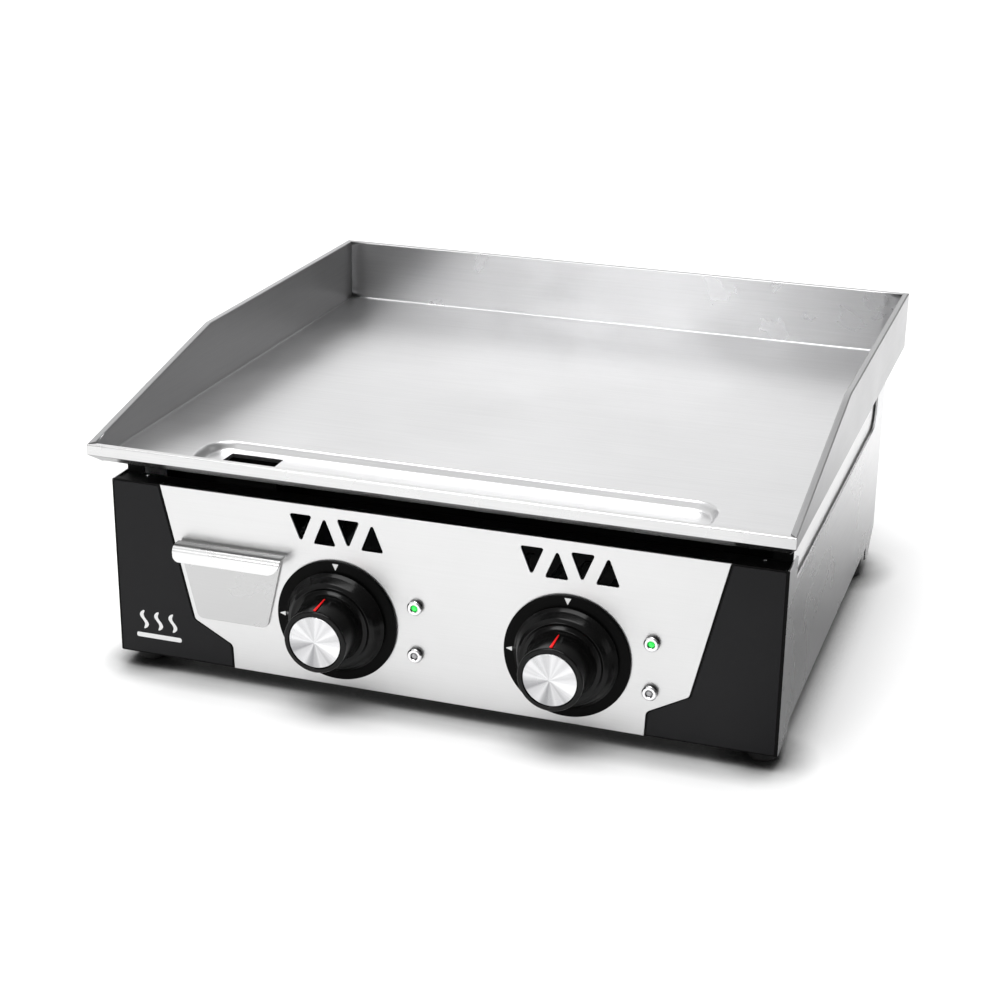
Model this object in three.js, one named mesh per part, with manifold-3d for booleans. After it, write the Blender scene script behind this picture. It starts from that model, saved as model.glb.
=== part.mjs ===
// Two-zone electric countertop griddle with a front drip tray.
// Millimetres, +Z up, +X to the user's right, the front faces -Y.
// The pieces are laid out from the fascia's front face (y = 0) and the table (z = 0);
// the assembly is then moved so that the origin is the bottom centre of its box.

import * as THREE from 'three';
import { mergeVertices } from 'three/addons/utils/BufferGeometryUtils.js';
import Module from 'manifold-3d';

const wasm = await Module();
wasm.setup();

// ---------------------------------------------------------------- driving dimensions
const GAP = 0.3;                 // clearance kept between touching pieces
const SHEET = 1.5;               // body sheet metal

const BODY_W = 487;
const BODY_D = 400;
const FASCIA_BOTTOM = 12;
const FASCIA_TOP = 146;
const BASE_Z = 24;               // underside of the base plate
const REAR_BOTTOM = 28;
const BACK_TOP = 156.5;          // top of the rear panel and of the side panels' back ends
const NOTCH_Z = 128.6;           // floor of the ventilation notch in each side panel
const FLANGE = 6;                // depth of the sheets' folded edges
const FRAME_T = 1.2;             // inner frame, tray and chute sheet
const FOOT_X = 230;
const FOOT_Y = { front: 22, rear: 358 };

const PLATE_W = 500;
const PLATE_FRONT = -20.3;
const PLATE_REAR = 452.5;
const COOK_Z = 165;              // cooking surface
const PLATE_T = 3;
const RIM_T = 5;                 // guards and lip
const GUARD_TOP = 215.5;
const LIP_TOP = 177.5;
const RIM_FACE_BOTTOM = 169.6;   // the outer faces of the lip and guards turn under here
const LIP_TURN = { depth: 9.6, drop: 6.7 };
const LIP_REACH = 12.3;          // the lip's foot meets the plate this far in
const LIP_RISE = 5.2;            // height of the foot's slope above the cooking surface
const KINK_Y = 167;              // the side guards slope down in front of this

const CHANNEL = { x: 188, y0: 3, y1: 55, corner: 17, depth: 6, slope: 4 };
const DRAIN = { x0: -170, x1: -130, y0: 28, y1: 45 };

const KNOB_X = [-71, 97];
const KNOB_Z = 62.8;
const DIAL_R = 44.8;
const DIAL_T = 2.2;
const KNOB_FRONT = -40.7;
const SHAFT_R = 3;
const SHAFT_HOLE_R = 5;
const LAMP_HOLE_R = 4.5;
const LAMP_DX = 58.5;            // lamps sit this far right of their knob
const LAMP_DZ = 18;
const LAMP_Z = 63.6;
const BEZEL_R = 5.4;

const VENT = { width: 16.6, height: 20.6, pitch: 17.7, z: 128.1, corner: 1.3 };

const TRAY_X = -151.5;
const TRAY_LEN = 250;
const TRAY_BOTTOM = 53;
const TRAY_TOP = 98;
const TRAY_WALL = 1.2;
const HANDLE_TOP = 107;
const HANDLE_Y = -13.6;          // front face of the handle's flap

const REAR_SCREWS = [[-215, 135], [215, 135], [-215, 45], [215, 45]];
const SCREW = { head: 3.6, stem: 1.8, hole: 2.3, length: 6 };
const GLAND = { x: 170, z: 62, r: 9 };

// ---------------------------------------------------------------- materials
function material(color, roughness, metalness) {
  return new THREE.MeshStandardMaterial({ color, roughness, metalness });
}

const plateSteel = material(0xb9b9ba, 0.38, 1);
const fasciaSteel = material(0xe4e4e4, 0.3, 1);
const bodySteel = material(0xc4c4c6, 0.32, 1);
const galvanised = material(0x9a9c9e, 0.5, 0.9);
const blackPanel = material(0x1d1d1e, 0.35, 0);
const blackPlastic = material(0x0c0c0d, 0.22, 0);
const blackFrame = material(0x141415, 0.5, 0.3);
const spunAluminium = material(0xdededf, 0.28, 1);
const redPaint = material(0xd4141a, 0.4, 0);
const chromeTrim = material(0xe6e6e8, 0.15, 1);
const greenLens = material(0x12a82e, 0.15, 0);
const clearLens = material(0x9a9a9c, 0.15, 0);
const rubber = material(0x101010, 0.8, 0);
const ceramic = material(0xd8d2c4, 0.6, 0);
const elementSheath = material(0x55524e, 0.5, 0.8);

// ---------------------------------------------------------------- solids
// Every helper below returns a manifold solid; add() turns it into a named mesh.

// A closed three.js geometry becomes a solid, its triangles turned outwards if needed.
function solid(geometry) {
  const bare = geometry.clone();
  bare.deleteAttribute('normal');
  bare.deleteAttribute('uv');
  const merged = mergeVertices(bare, 1e-4);
  const vertProperties = new Float32Array(merged.attributes.position.array);
  const triVerts = new Uint32Array(merged.index.array);
  if (signedVolume(vertProperties, triVerts) < 0) {
    for (let i = 0; i < triVerts.length; i += 3) {
      [triVerts[i], triVerts[i + 1]] = [triVerts[i + 1], triVerts[i]];
    }
  }
  return new wasm.Manifold(new wasm.Mesh({ numProp: 3, vertProperties, triVerts }));
}

function signedVolume(p, tri) {
  const a = new THREE.Vector3();
  const b = new THREE.Vector3();
  const c = new THREE.Vector3();
  let sum = 0;
  for (let i = 0; i < tri.length; i += 3) {
    a.fromArray(p, 3 * tri[i]);
    b.fromArray(p, 3 * tri[i + 1]);
    c.fromArray(p, 3 * tri[i + 2]);
    sum += a.dot(b.cross(c));
  }
  return sum;
}

function box(x0, x1, y0, y1, z0, z1) {
  const geometry = new THREE.BoxGeometry(x1 - x0, y1 - y0, z1 - z0);
  geometry.translate((x0 + x1) / 2, (y0 + y1) / 2, (z0 + z1) / 2);
  return solid(geometry);
}

// An outline of [a, b] corners; a third value rounds that corner with an arc-like curve.
function outline(corners) {
  const shape = new THREE.Shape();
  const n = corners.length;
  const point = (i) => new THREE.Vector2(corners[(i + n) % n][0], corners[(i + n) % n][1]);
  for (let i = 0; i < n; i += 1) {
    const here = point(i);
    const radius = corners[i][2] ?? 0;
    const before = point(i - 1).sub(here).setLength(radius).add(here);
    const after = point(i + 1).sub(here).setLength(radius).add(here);
    if (i === 0) {
      shape.moveTo(before.x, before.y);
    } else {
      shape.lineTo(before.x, before.y);
    }
    if (radius > 0) {
      shape.quadraticCurveTo(here.x, here.y, after.x, after.y);
    }
  }
  shape.closePath();
  return shape;
}

function prism(shape, depth, axes, segments = 3) {
  const geometry = new THREE.ExtrudeGeometry(shape, {
    depth,
    bevelEnabled: false,
    curveSegments: segments,
  });
  geometry.applyMatrix4(axes);
  return geometry;
}

// Outline in (x, z), extruded from y0 to y1.
function sheetXZ(corners, y0, y1) {
  const turn = new THREE.Matrix4().makeRotationX(Math.PI / 2);
  return solid(prism(outline(corners), y1 - y0, turn).translate(0, y1, 0));
}

// Outline in (y, z), extruded from x0 to x1.
function sheetYZ(corners, x0, x1) {
  const cycle = new THREE.Matrix4().set(0, 0, 1, 0, 1, 0, 0, 0, 0, 1, 0, 0, 0, 0, 0, 1);
  return solid(prism(outline(corners), x1 - x0, cycle).translate(x0, 0, 0));
}

// Outline in (x, y), extruded from z0 to z1.
function sheetXY(corners, z0, z1) {
  const still = new THREE.Matrix4();
  return solid(prism(outline(corners), z1 - z0, still).translate(0, 0, z0));
}

function rectangle(a0, a1, b0, b1, radius = 0) {
  return [[a0, b0, radius], [a1, b0, radius], [a1, b1, radius], [a0, b1, radius]];
}

// A profile of [radius, y] points turned about a line along Y at (x, z).
function turnedY(profile, x, z, segments = 32) {
  const points = profile.map(([r, y]) => new THREE.Vector2(r, y));
  return solid(new THREE.LatheGeometry(points, segments).translate(x, 0, z));
}

// A profile of [radius, z] points turned about a vertical line at (x, y).
function turnedZ(profile, x, y, segments = 28) {
  const points = profile.map(([r, z]) => new THREE.Vector2(r, z));
  const geometry = new THREE.LatheGeometry(points, segments);
  geometry.rotateX(Math.PI / 2).translate(x, y, 0);
  return solid(geometry);
}

function rodY(radius, x, z, y0, y1, segments = 24) {
  return turnedY([[0, y0], [radius, y0], [radius, y1], [0, y1]], x, z, segments);
}

function cut(body, ...tools) {
  return tools.reduce((rest, tool) => rest.subtract(tool), body);
}

function join(...solids) {
  return solids.reduce((sum, next) => sum.add(next));
}

// Mirrors a solid's corner list across x = 0 when side is -1.
function mirrored(corners, side) {
  return corners.map(([x, b, r]) => [side * x, b, r ?? 0]);
}

const griddle = new THREE.Group();
const assembly = new THREE.Group();
assembly.position.y = -(KNOB_FRONT + PLATE_REAR) / 2;
griddle.add(assembly);

function add(name, body, look, parent = assembly) {
  const mesh = body.getMesh();
  const geometry = new THREE.BufferGeometry();
  geometry.setAttribute('position', new THREE.BufferAttribute(mesh.vertProperties, 3));
  geometry.setIndex(new THREE.BufferAttribute(mesh.triVerts, 1));
  geometry.computeVertexNormals();
  const node = new THREE.Mesh(geometry, look);
  node.name = name;
  parent.add(node);
}

const SIDES = [['left', -1], ['right', 1]];

// ---------------------------------------------------------------- cooking plate and rim
// A pressed sheet with its edge bevelled underneath and a shallow grease channel in front.
function cookingPlate() {
  const xEdge = PLATE_W / 2 - RIM_T - GAP;
  const yFront = PLATE_FRONT + LIP_REACH + GAP;
  const yRear = PLATE_REAR - RIM_T - GAP;
  const under = COOK_Z - PLATE_T;
  const side = [
    [yFront, COOK_Z], [yRear, COOK_Z], [yRear - PLATE_T, under], [yFront + PLATE_T, under],
  ];
  const across = [
    [-xEdge, COOK_Z], [xEdge, COOK_Z], [xEdge - PLATE_T, under], [-xEdge + PLATE_T, under],
  ];
  const slab = sheetYZ(side, -xEdge, xEdge).intersect(sheetXZ(across, yFront, yRear));
  const trough = channelSolid(0, under - CHANNEL.depth, COOK_Z - 1);
  const hollow = channelSolid(PLATE_T, COOK_Z - CHANNEL.depth, COOK_Z + 1);
  const drain = sheetXY(
    rectangle(DRAIN.x0, DRAIN.x1, DRAIN.y0, DRAIN.y1, 2), BASE_Z, COOK_Z,
  );
  return cut(join(slab, trough), hollow, drain);
}

// The channel's solid: a rounded rectangle that widens upwards at a constant slope.
function channelSolid(inset, z0, z1) {
  const rise = (z1 - z0) * (CHANNEL.slope / CHANNEL.depth);
  const grown = (extra) => rectangle(
    -CHANNEL.x - PLATE_T + inset + CHANNEL.slope - extra,
    CHANNEL.x + PLATE_T - inset - CHANNEL.slope + extra,
    CHANNEL.y0 - PLATE_T + inset + CHANNEL.slope - extra,
    CHANNEL.y1 + PLATE_T - inset - CHANNEL.slope + extra,
    CHANNEL.corner + extra,
  );
  return loft(outline(grown(0)), outline(grown(rise)), z0, z1);
}

// A solid between two outlines with the same number of points, one above the other.
function loft(lower, upper, z0, z1) {
  const low = lower.getPoints(5);
  const high = upper.getPoints(5);
  const n = low.length - 1;
  const positions = [];
  const quad = (a, b, c, d) => positions.push(...a, ...b, ...c, ...a, ...c, ...d);
  const at = (list, i, z) => [list[i % n].x, list[i % n].y, z];
  const centre = (list, z) => {
    const sum = new THREE.Vector2();
    list.slice(0, n).forEach((p) => sum.add(p));
    return [sum.x / n, sum.y / n, z];
  };
  const bottom = centre(low, z0);
  const top = centre(high, z1);
  for (let i = 0; i < n; i += 1) {
    quad(at(low, i, z0), at(low, i + 1, z0), at(high, i + 1, z1), at(high, i, z1));
    positions.push(...bottom, ...at(low, i + 1, z0), ...at(low, i, z0));
    positions.push(...top, ...at(high, i, z1), ...at(high, i + 1, z1));
  }
  const geometry = new THREE.BufferGeometry();
  geometry.setAttribute('position', new THREE.Float32BufferAttribute(positions, 3));
  return solid(geometry);
}

// The front lip: a flat face, a slanting turn under, and a foot that slopes down to the plate.
// Its foot stops short of the side guards.
function frontLip() {
  const inner = PLATE_FRONT + RIM_T;
  const end = PLATE_FRONT + LIP_REACH;
  const bottom = RIM_FACE_BOTTOM - LIP_TURN.drop;
  const section = [
    [PLATE_FRONT, LIP_TOP, 0.6], [PLATE_FRONT, RIM_FACE_BOTTOM],
    [PLATE_FRONT + LIP_TURN.depth, bottom], [end, bottom], [end, COOK_Z],
    [inner, COOK_Z + LIP_RISE], [inner, LIP_TOP, 0.6],
  ];
  const half = PLATE_W / 2;
  const clear = half - RIM_T - GAP;
  const notch = (x0, x1) => box(x0, x1, inner, end + 1, bottom - 1, LIP_TOP - 1);
  return cut(sheetYZ(section, -half, half), notch(clear, half + 1), notch(-half - 1, -clear));
}

// A side guard: level at the back, sloping to the lip, its lower outer edge turned under.
function sideGuard(side) {
  const y0 = PLATE_FRONT + RIM_T + GAP;
  const y1 = PLATE_REAR - RIM_T - GAP;
  const low = COOK_Z - PLATE_T;
  const slope = (GUARD_TOP - LIP_TOP) / (KINK_Y - PLATE_FRONT);
  const face = [
    [y0, low], [y1, low], [y1, GUARD_TOP], [KINK_Y, GUARD_TOP],
    [y0, LIP_TOP + slope * (y0 - PLATE_FRONT)],
  ];
  const outer = PLATE_W / 2;
  const section = [
    [outer - RIM_T, low], [outer, RIM_FACE_BOTTOM],
    [outer, GUARD_TOP + 1], [outer - RIM_T, GUARD_TOP + 1],
  ];
  const x0 = Math.min(side * outer, side * (outer - RIM_T));
  return sheetYZ(face, x0, x0 + RIM_T).intersect(sheetXZ(mirrored(section, side), y0, y1));
}

function rearGuard() {
  const inner = PLATE_REAR - RIM_T;
  const section = [
    [inner, COOK_Z - PLATE_T], [PLATE_REAR, RIM_FACE_BOTTOM],
    [PLATE_REAR, GUARD_TOP], [inner, GUARD_TOP],
  ];
  return sheetYZ(section, -PLATE_W / 2, PLATE_W / 2);
}

add('cooking_plate', cookingPlate(), plateSteel);
add('front_lip', frontLip(), plateSteel);
add('rear_guard', rearGuard(), plateSteel);
for (const [name, side] of SIDES) {
  add(`${name}_guard`, sideGuard(side), plateSteel);
}

// ---------------------------------------------------------------- heating under the plate
const ELEMENT = { r: 4, z: 157.4, y0: 84, y1: 386, pitch: 52, x: 117 };

// A flat serpentine of straight runs along Y joined by half circles.
class Serpentine extends THREE.Curve {
  constructor(centreX, runs) {
    super();
    this.centreX = centreX;
    this.runs = runs;
    this.turn = ELEMENT.pitch / 2;
    this.straight = ELEMENT.y1 - ELEMENT.y0 - 2 * this.turn;
    this.arc = Math.PI * this.turn;
    this.total = runs * this.straight + (runs - 1) * this.arc;
  }

  getPoint(t, target = new THREE.Vector3()) {
    const along = t * this.total;
    const stage = this.straight + this.arc;
    const run = Math.min(Math.floor(along / stage), this.runs - 1);
    const inRun = along - run * stage;
    const up = run % 2 === 0 ? -1 : 1;
    const x = this.centreX + (run - (this.runs - 1) / 2) * ELEMENT.pitch;
    const middle = (ELEMENT.y0 + ELEMENT.y1) / 2;
    if (inRun <= this.straight) {
      return target.set(x, middle + up * (inRun - this.straight / 2), ELEMENT.z);
    }
    const angle = (inRun - this.straight) / this.turn;
    return target.set(
      x + this.turn * (1 - Math.cos(angle)),
      middle + up * (this.straight / 2 + this.turn * Math.sin(angle)),
      ELEMENT.z,
    );
  }
}

function heatingElement(centreX) {
  const ring = new THREE.Shape();
  ring.absarc(0, 0, ELEMENT.r, 0, 2 * Math.PI);
  return solid(new THREE.ExtrudeGeometry(ring, {
    extrudePath: new Serpentine(centreX, 4),
    steps: 56,
    curveSegments: 4,
  }));
}

for (const [name, side] of SIDES) {
  add(`${name}_heating_element`, heatingElement(side * ELEMENT.x), elementSheath);
}
const CLAMP = { half: 228, y: { front: 140, rear: 320 }, width: 18, thickness: 2 };
const CLAMP_TOP = ELEMENT.z - ELEMENT.r - GAP;
for (const [name, y] of Object.entries(CLAMP.y)) {
  const bar = box(
    -CLAMP.half, CLAMP.half, y, y + CLAMP.width, CLAMP_TOP - CLAMP.thickness, CLAMP_TOP,
  );
  add(`${name}_element_clamp`, bar, galvanised);
}
const SHIELD = { half: 230, y: [76, 392], thickness: 1 };
const SHIELD_TOP = CLAMP_TOP - CLAMP.thickness - GAP;
add(
  'heat_shield',
  box(-SHIELD.half, SHIELD.half, ...SHIELD.y, SHIELD_TOP - SHIELD.thickness, SHIELD_TOP),
  galvanised,
);

// ---------------------------------------------------------------- fascia
// Half widths of the steel centre at its heights; the black panels fill the rest.
const BOUNDARY = [[205.4, FASCIA_TOP], [182.1, 46, 3], [152.9, 30, 4], [152.2, FASCIA_BOTTOM]];

// The gap between the steel and each black panel.
const PANEL_SEAM = 0.4;

// The folded top edge that every front sheet carries, between two x positions.
function topFold(x0, x1) {
  return box(x0, x1, 0, FLANGE, FASCIA_TOP - SHEET, FASCIA_TOP);
}

function fasciaCentre() {
  const right = BOUNDARY;
  const left = [...BOUNDARY].reverse().map(([x, z, r]) => [-x, z, r ?? 0]);
  const half = BOUNDARY[0][0];
  return join(sheetXZ([...left, ...right], 0, SHEET), topFold(-half, half));
}

function endPanel(side) {
  const inner = BOUNDARY.map(([x, z, r]) => [x + PANEL_SEAM, z, r ?? 0]);
  const corners = [
    ...inner, [BODY_W / 2, FASCIA_BOTTOM, 0.8], [BODY_W / 2, FASCIA_TOP, 0.8],
  ];
  const foldEnds = [side * (BOUNDARY[0][0] + PANEL_SEAM), side * (BODY_W / 2 - SHEET - GAP)];
  const fold = topFold(Math.min(...foldEnds), Math.max(...foldEnds));
  return join(sheetXZ(mirrored(corners, side), 0, SHEET), fold);
}

// Every cut through the front sheets runs between these two y positions.
const THROUGH = [-5, 10];

function ventTriangle(x, pointsUp) {
  const half = VENT.width / 2;
  const base = VENT.z - (pointsUp ? 0.5 : -0.5) * VENT.height;
  const apex = VENT.z + (pointsUp ? 0.5 : -0.5) * VENT.height;
  const r = VENT.corner;
  return sheetXZ([[x - half, base, r], [x + half, base, r], [x, apex, r]], ...THROUGH);
}

// The tray's opening and the tray's own section are the same trapezoid at two sizes.
const TRAY_HALF = { low: 23.5, high: 34 };
const TRAY_PLAY = 2;

function trayTrapezoid(clearance, z0 = TRAY_BOTTOM, z1 = TRAY_TOP) {
  const low = TRAY_HALF.low + clearance;
  const high = TRAY_HALF.high + clearance;
  return [
    [TRAY_X - low, z0], [TRAY_X + low, z0], [TRAY_X + high, z1], [TRAY_X - high, z1],
  ];
}

function fasciaOpenings() {
  const hole = trayTrapezoid(TRAY_PLAY, TRAY_BOTTOM - TRAY_PLAY, TRAY_TOP + TRAY_PLAY);
  const tools = [sheetXZ(hole, ...THROUGH)];
  for (const knobX of KNOB_X) {
    for (let i = 0; i < 4; i += 1) {
      tools.push(ventTriangle(knobX + (i - 1.5) * VENT.pitch, i % 2 === 1));
    }
    tools.push(rodY(SHAFT_HOLE_R, knobX, KNOB_Z, ...THROUGH));
    for (const dz of [LAMP_DZ, -LAMP_DZ]) {
      tools.push(rodY(LAMP_HOLE_R, knobX + LAMP_DX, LAMP_Z + dz, ...THROUGH));
    }
  }
  return tools;
}

// The frame behind the fascia, with a shelf along its top edge, under the folds, and a tab
// standing on either end of the shelf in front of the inner walls.
const FRAME_SHELF_Y = 22;
const FRAME_TAB = { width: 13, top: 158 };

function frontFrame() {
  const y0 = SHEET + GAP;
  const half = BODY_W / 2 - SHEET - GAP;
  const z0 = BASE_Z + SHEET + GAP;
  const z1 = FASCIA_TOP - SHEET - GAP;
  const section = [
    [y0, z0], [y0 + FRAME_T, z0], [y0 + FRAME_T, z1 - FRAME_T],
    [FRAME_SHELF_Y, z1 - FRAME_T], [FRAME_SHELF_Y, z1], [y0, z1],
  ];
  const tabs = SIDES.map(([, side]) => {
    const x0 = Math.min(side * half, side * (half - FRAME_TAB.width));
    return box(
      x0, x0 + FRAME_TAB.width, FRAME_SHELF_Y - FRAME_T, FRAME_SHELF_Y, z1 - FRAME_T, FRAME_TAB.top,
    );
  });
  return join(sheetYZ(section, -half, half), ...tabs);
}

const openings = fasciaOpenings();
add('front_fascia', cut(fasciaCentre(), ...openings), fasciaSteel);
add('front_frame', cut(frontFrame(), ...openings), blackFrame);
for (const [name, side] of SIDES) {
  add(`${name}_end_panel`, endPanel(side), blackPanel);
}

// ---------------------------------------------------------------- body
// Side panel outline in (y, z): front foot, long arch, rear foot, ventilation notch on top.
const SIDE_OUTLINE = [
  [SHEET + GAP, FASCIA_BOTTOM], [20, FASCIA_BOTTOM], [20.5, 16], [35, 16], [37, 22, 2],
  [43, BASE_Z, 4], [364, BASE_Z, 4], [365.5, 10], [374, 10, 1], [BODY_D, REAR_BOTTOM],
  [BODY_D, BACK_TOP], [362, BACK_TOP], [361, NOTCH_Z, 22], [30, NOTCH_Z, 1], [30, FASCIA_TOP, 0.5],
  [SHEET + GAP, FASCIA_TOP],
];

function sidePanel(side) {
  const outer = BODY_W / 2;
  const x0 = Math.min(side * outer, side * (outer - SHEET));
  return sheetYZ(SIDE_OUTLINE, x0, x0 + SHEET);
}

// The wall inside each side panel stands on the base and carries the plate on its flange.
const WALL_PLAY = 1.9;           // clear gap between the wall and the side panel
const WALL_X = BODY_W / 2 - SHEET - WALL_PLAY;
const WALL_Y = [26, 390];

function innerWall(side) {
  const z0 = BASE_Z + SHEET + GAP;
  const z1 = COOK_Z - PLATE_T - GAP;
  const section = [
    [WALL_X - SHEET, z0], [WALL_X, z0], [WALL_X, z1], [WALL_X - FLANGE, z1],
    [WALL_X - FLANGE, z1 - SHEET], [WALL_X - SHEET, z1 - SHEET],
  ];
  return sheetXZ(mirrored(section, side), ...WALL_Y);
}

// Ventilation slots, the same in the rear panel and the base plate.
const SLOT = { count: 12, pitch: 16, half: 3, corner: 2.5, z: [85, 140], y: [170, 250] };
const SLOT_CUT = 5;              // how far each slot's cutter passes the sheet

function slots(make) {
  const middle = (SLOT.count - 1) / 2;
  return Array.from({ length: SLOT.count }, (_, i) => make((i - middle) * SLOT.pitch));
}

function rearPanel() {
  const half = BODY_W / 2 - SHEET - GAP;
  const plate = sheetXZ(rectangle(-half, half, REAR_BOTTOM, BACK_TOP, 1), BODY_D - SHEET, BODY_D);
  const ends = [BODY_D - SLOT_CUT, BODY_D + SLOT_CUT];
  const vents = slots((x) => sheetXZ(
    rectangle(x - SLOT.half, x + SLOT.half, ...SLOT.z, SLOT.corner), ...ends,
  ));
  const screwHoles = REAR_SCREWS.map(([x, z]) => rodY(SCREW.hole, x, z, ...ends, 10));
  const gland = rodY(GLAND.r, GLAND.x, GLAND.z, ...ends);
  return cut(plate, gland, ...vents, ...screwHoles);
}

function basePlate() {
  const half = BODY_W / 2 - SHEET - GAP;
  const y1 = BODY_D - SHEET - GAP;
  const plate = box(-half, half, SHEET + GAP, y1, BASE_Z, BASE_Z + SHEET);
  const vents = slots((x) => sheetXY(
    rectangle(x - SLOT.half, x + SLOT.half, ...SLOT.y, SLOT.corner),
    BASE_Z - SLOT_CUT, BASE_Z + SLOT_CUT,
  ));
  return cut(plate, ...vents);
}

// The rail behind the grease channel ties the inner walls together.
const RAIL = { y: 64, bottom: 112, top: 156.8 };

function frontCrossRail() {
  const half = WALL_X - FLANGE - GAP;
  return box(-half, half, RAIL.y, RAIL.y + SHEET, RAIL.bottom, RAIL.top);
}

add('base_plate', basePlate(), galvanised);
add('rear_panel', rearPanel(), bodySteel);
add('front_cross_rail', frontCrossRail(), blackFrame);
for (const [name, side] of SIDES) {
  add(`${name}_side_panel`, sidePanel(side), bodySteel);
  add(`${name}_inner_wall`, innerWall(side), bodySteel);
}

// Feet: tapered rubber pads under the base plate.
const FOOT_PROFILE = [
  [0, 0], [8.5, 0], [10, 1.5], [11.5, BASE_Z - GAP], [0, BASE_Z - GAP],
];
for (const [row, y] of Object.entries(FOOT_Y)) {
  for (const [name, side] of SIDES) {
    add(`${row}_${name}_foot`, turnedZ(FOOT_PROFILE, side * FOOT_X, y), rubber);
  }
}

// Round-headed screws of the rear panel.
REAR_SCREWS.forEach(([x, z], index) => {
  const y = BODY_D + GAP;
  const end = y - SCREW.length;
  const profile = [
    [0, end], [SCREW.stem, end], [SCREW.stem, y], [SCREW.head, y],
    [SCREW.head - 0.4, y + 1.4], [SCREW.stem, y + 2.2], [0, y + 2.2],
  ];
  add(`rear_screw_${index + 1}`, turnedY(profile, x, z, 16), chromeTrim);
});

// ---------------------------------------------------------------- electrical
function cableGland() {
  const y = BODY_D + GAP;
  const profile = [
    [5, y - 9], [8.4, y - 9], [8.4, y], [13, y], [13, y + 5], [11, y + 6], [10.4, y + 14],
    [8.4, y + 18], [5, y + 18], [5, y - 9],
  ];
  return turnedY(profile, GLAND.x, GLAND.z, 20);
}

add('cable_gland', cableGland(), blackPlastic);
const TERMINAL = { x: [110, 160], y: [340, 358], top: 46 };
add(
  'terminal_block',
  box(...TERMINAL.x, ...TERMINAL.y, BASE_Z + SHEET + GAP, TERMINAL.top),
  ceramic,
);

const KNOBS = [['left', KNOB_X[0]], ['right', KNOB_X[1]]];

const CAN = { half: 19, depth: 30, bore: 18 };
const SHAFT_END = 18;

function thermostat(x) {
  const y0 = SHEET + GAP + FRAME_T + GAP;
  const can = box(
    x - CAN.half, x + CAN.half, y0, y0 + CAN.depth, KNOB_Z - CAN.half, KNOB_Z + CAN.half,
  );
  return cut(can, rodY(SHAFT_R + 0.4, x, KNOB_Z, y0 - 1, y0 + CAN.bore));
}

// A lamp's bezel is a collar with a stem through the fascia; its lens fills the bore.
function bezel(x, z) {
  const profile = [
    [2.5, -3.4], [2.9, -3.9], [4.4, -3.9], [BEZEL_R, -3], [BEZEL_R, -GAP], [4.2, -GAP],
    [4.2, 9], [2.5, 9], [2.5, -3.4],
  ];
  return turnedY(profile, x, z, 20);
}

function lens(x, z) {
  return turnedY([[0, -3.9], [1.3, -3.6], [2.2, -2.8], [2.2, 8], [0, 8]], x, z, 16);
}

for (const [name, x] of KNOBS) {
  add(`${name}_thermostat`, thermostat(x), ceramic);
  for (const [lamp, dz, look] of [['heat', LAMP_DZ, greenLens], ['mains', -LAMP_DZ, clearLens]]) {
    add(`${name}_${lamp}_lamp_bezel`, bezel(x + LAMP_DX, LAMP_Z + dz), chromeTrim);
    add(`${name}_${lamp}_lamp_lens`, lens(x + LAMP_DX, LAMP_Z + dz), look);
  }
}

// ---------------------------------------------------------------- knobs
// Profiles as [radius, y]. The dial stays still; the knob, its cap, pointer and shaft turn.
function dial(x) {
  const y0 = -GAP;
  const y1 = -GAP - DIAL_T;
  const profile = [
    [4, y0], [DIAL_R, y0], [DIAL_R, y1 + 0.6], [DIAL_R - 0.6, y1], [4, y1], [4, y0],
  ];
  return turnedY(profile, x, KNOB_Z, 48);
}

const KNOB_BACK = -GAP - DIAL_T - GAP;
const KNOB_SKIRT_R = 37.2;
const CROWN = { back: { r: 24.3, y: -17 }, front: { r: 22.9, y: -37.5 } };
const CAP_R = 18.8;
const CAP_SEAT = KNOB_FRONT + 2.6;
const BORE_END = -30;
const KNOB_PROFILE = [
  [SHAFT_R + 0.3, KNOB_BACK], [37, KNOB_BACK], [KNOB_SKIRT_R, -4.6], [36, -7.4], [33.8, -10.4],
  [31.4, -13], [29.6, -14], [27.6, -13.6], [25, -14.4], [CROWN.back.r, CROWN.back.y],
  [CROWN.front.r, CROWN.front.y], [CROWN.front.r - 1, KNOB_FRONT + 0.4],
  [CROWN.front.r - 1.8, KNOB_FRONT + 0.2], [CAP_R + 0.5, KNOB_FRONT + 0.8],
  [CAP_R + 0.5, CAP_SEAT], [0, CAP_SEAT], [0, BORE_END], [SHAFT_R + 0.3, BORE_END],
  [SHAFT_R + 0.3, KNOB_BACK],
];

function knobBody(x) {
  return turnedY(KNOB_PROFILE, x, KNOB_Z, 40);
}

function knobCap(x) {
  const profile = [
    [0, CAP_SEAT - GAP], [CAP_R, CAP_SEAT - GAP], [CAP_R, KNOB_FRONT + 0.5],
    [CAP_R - 0.5, KNOB_FRONT], [0, KNOB_FRONT],
  ];
  return turnedY(profile, x, KNOB_Z, 40);
}

// The pointer is a rib that lies along the crown and narrows towards the back.
const POINTER = { y: [-39.2, -22], half: [1.4, 0.6], height: 0.9 };

function crownTop(y) {
  const { back, front } = CROWN;
  const share = (y - back.y) / (front.y - back.y);
  return KNOB_Z + back.r + share * (front.r - back.r);
}

function pointer(x) {
  const [y0, y1] = POINTER.y;
  const [wide, narrow] = POINTER.half;
  const plan = [[x - wide, y0], [x + wide, y0], [x + narrow, y1], [x - narrow, y1]];
  const low = [crownTop(y0) + GAP, crownTop(y1) + GAP];
  const side = [
    [y0, low[0]], [y1, low[1]], [y1, low[1] + POINTER.height], [y0, low[0] + POINTER.height],
  ];
  return sheetXY(plan, KNOB_Z, KNOB_Z + KNOB_SKIRT_R).intersect(sheetYZ(side, x - wide, x + wide));
}

function shaft(x) {
  return rodY(SHAFT_R, x, KNOB_Z, BORE_END + GAP, SHAFT_END);
}

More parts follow.
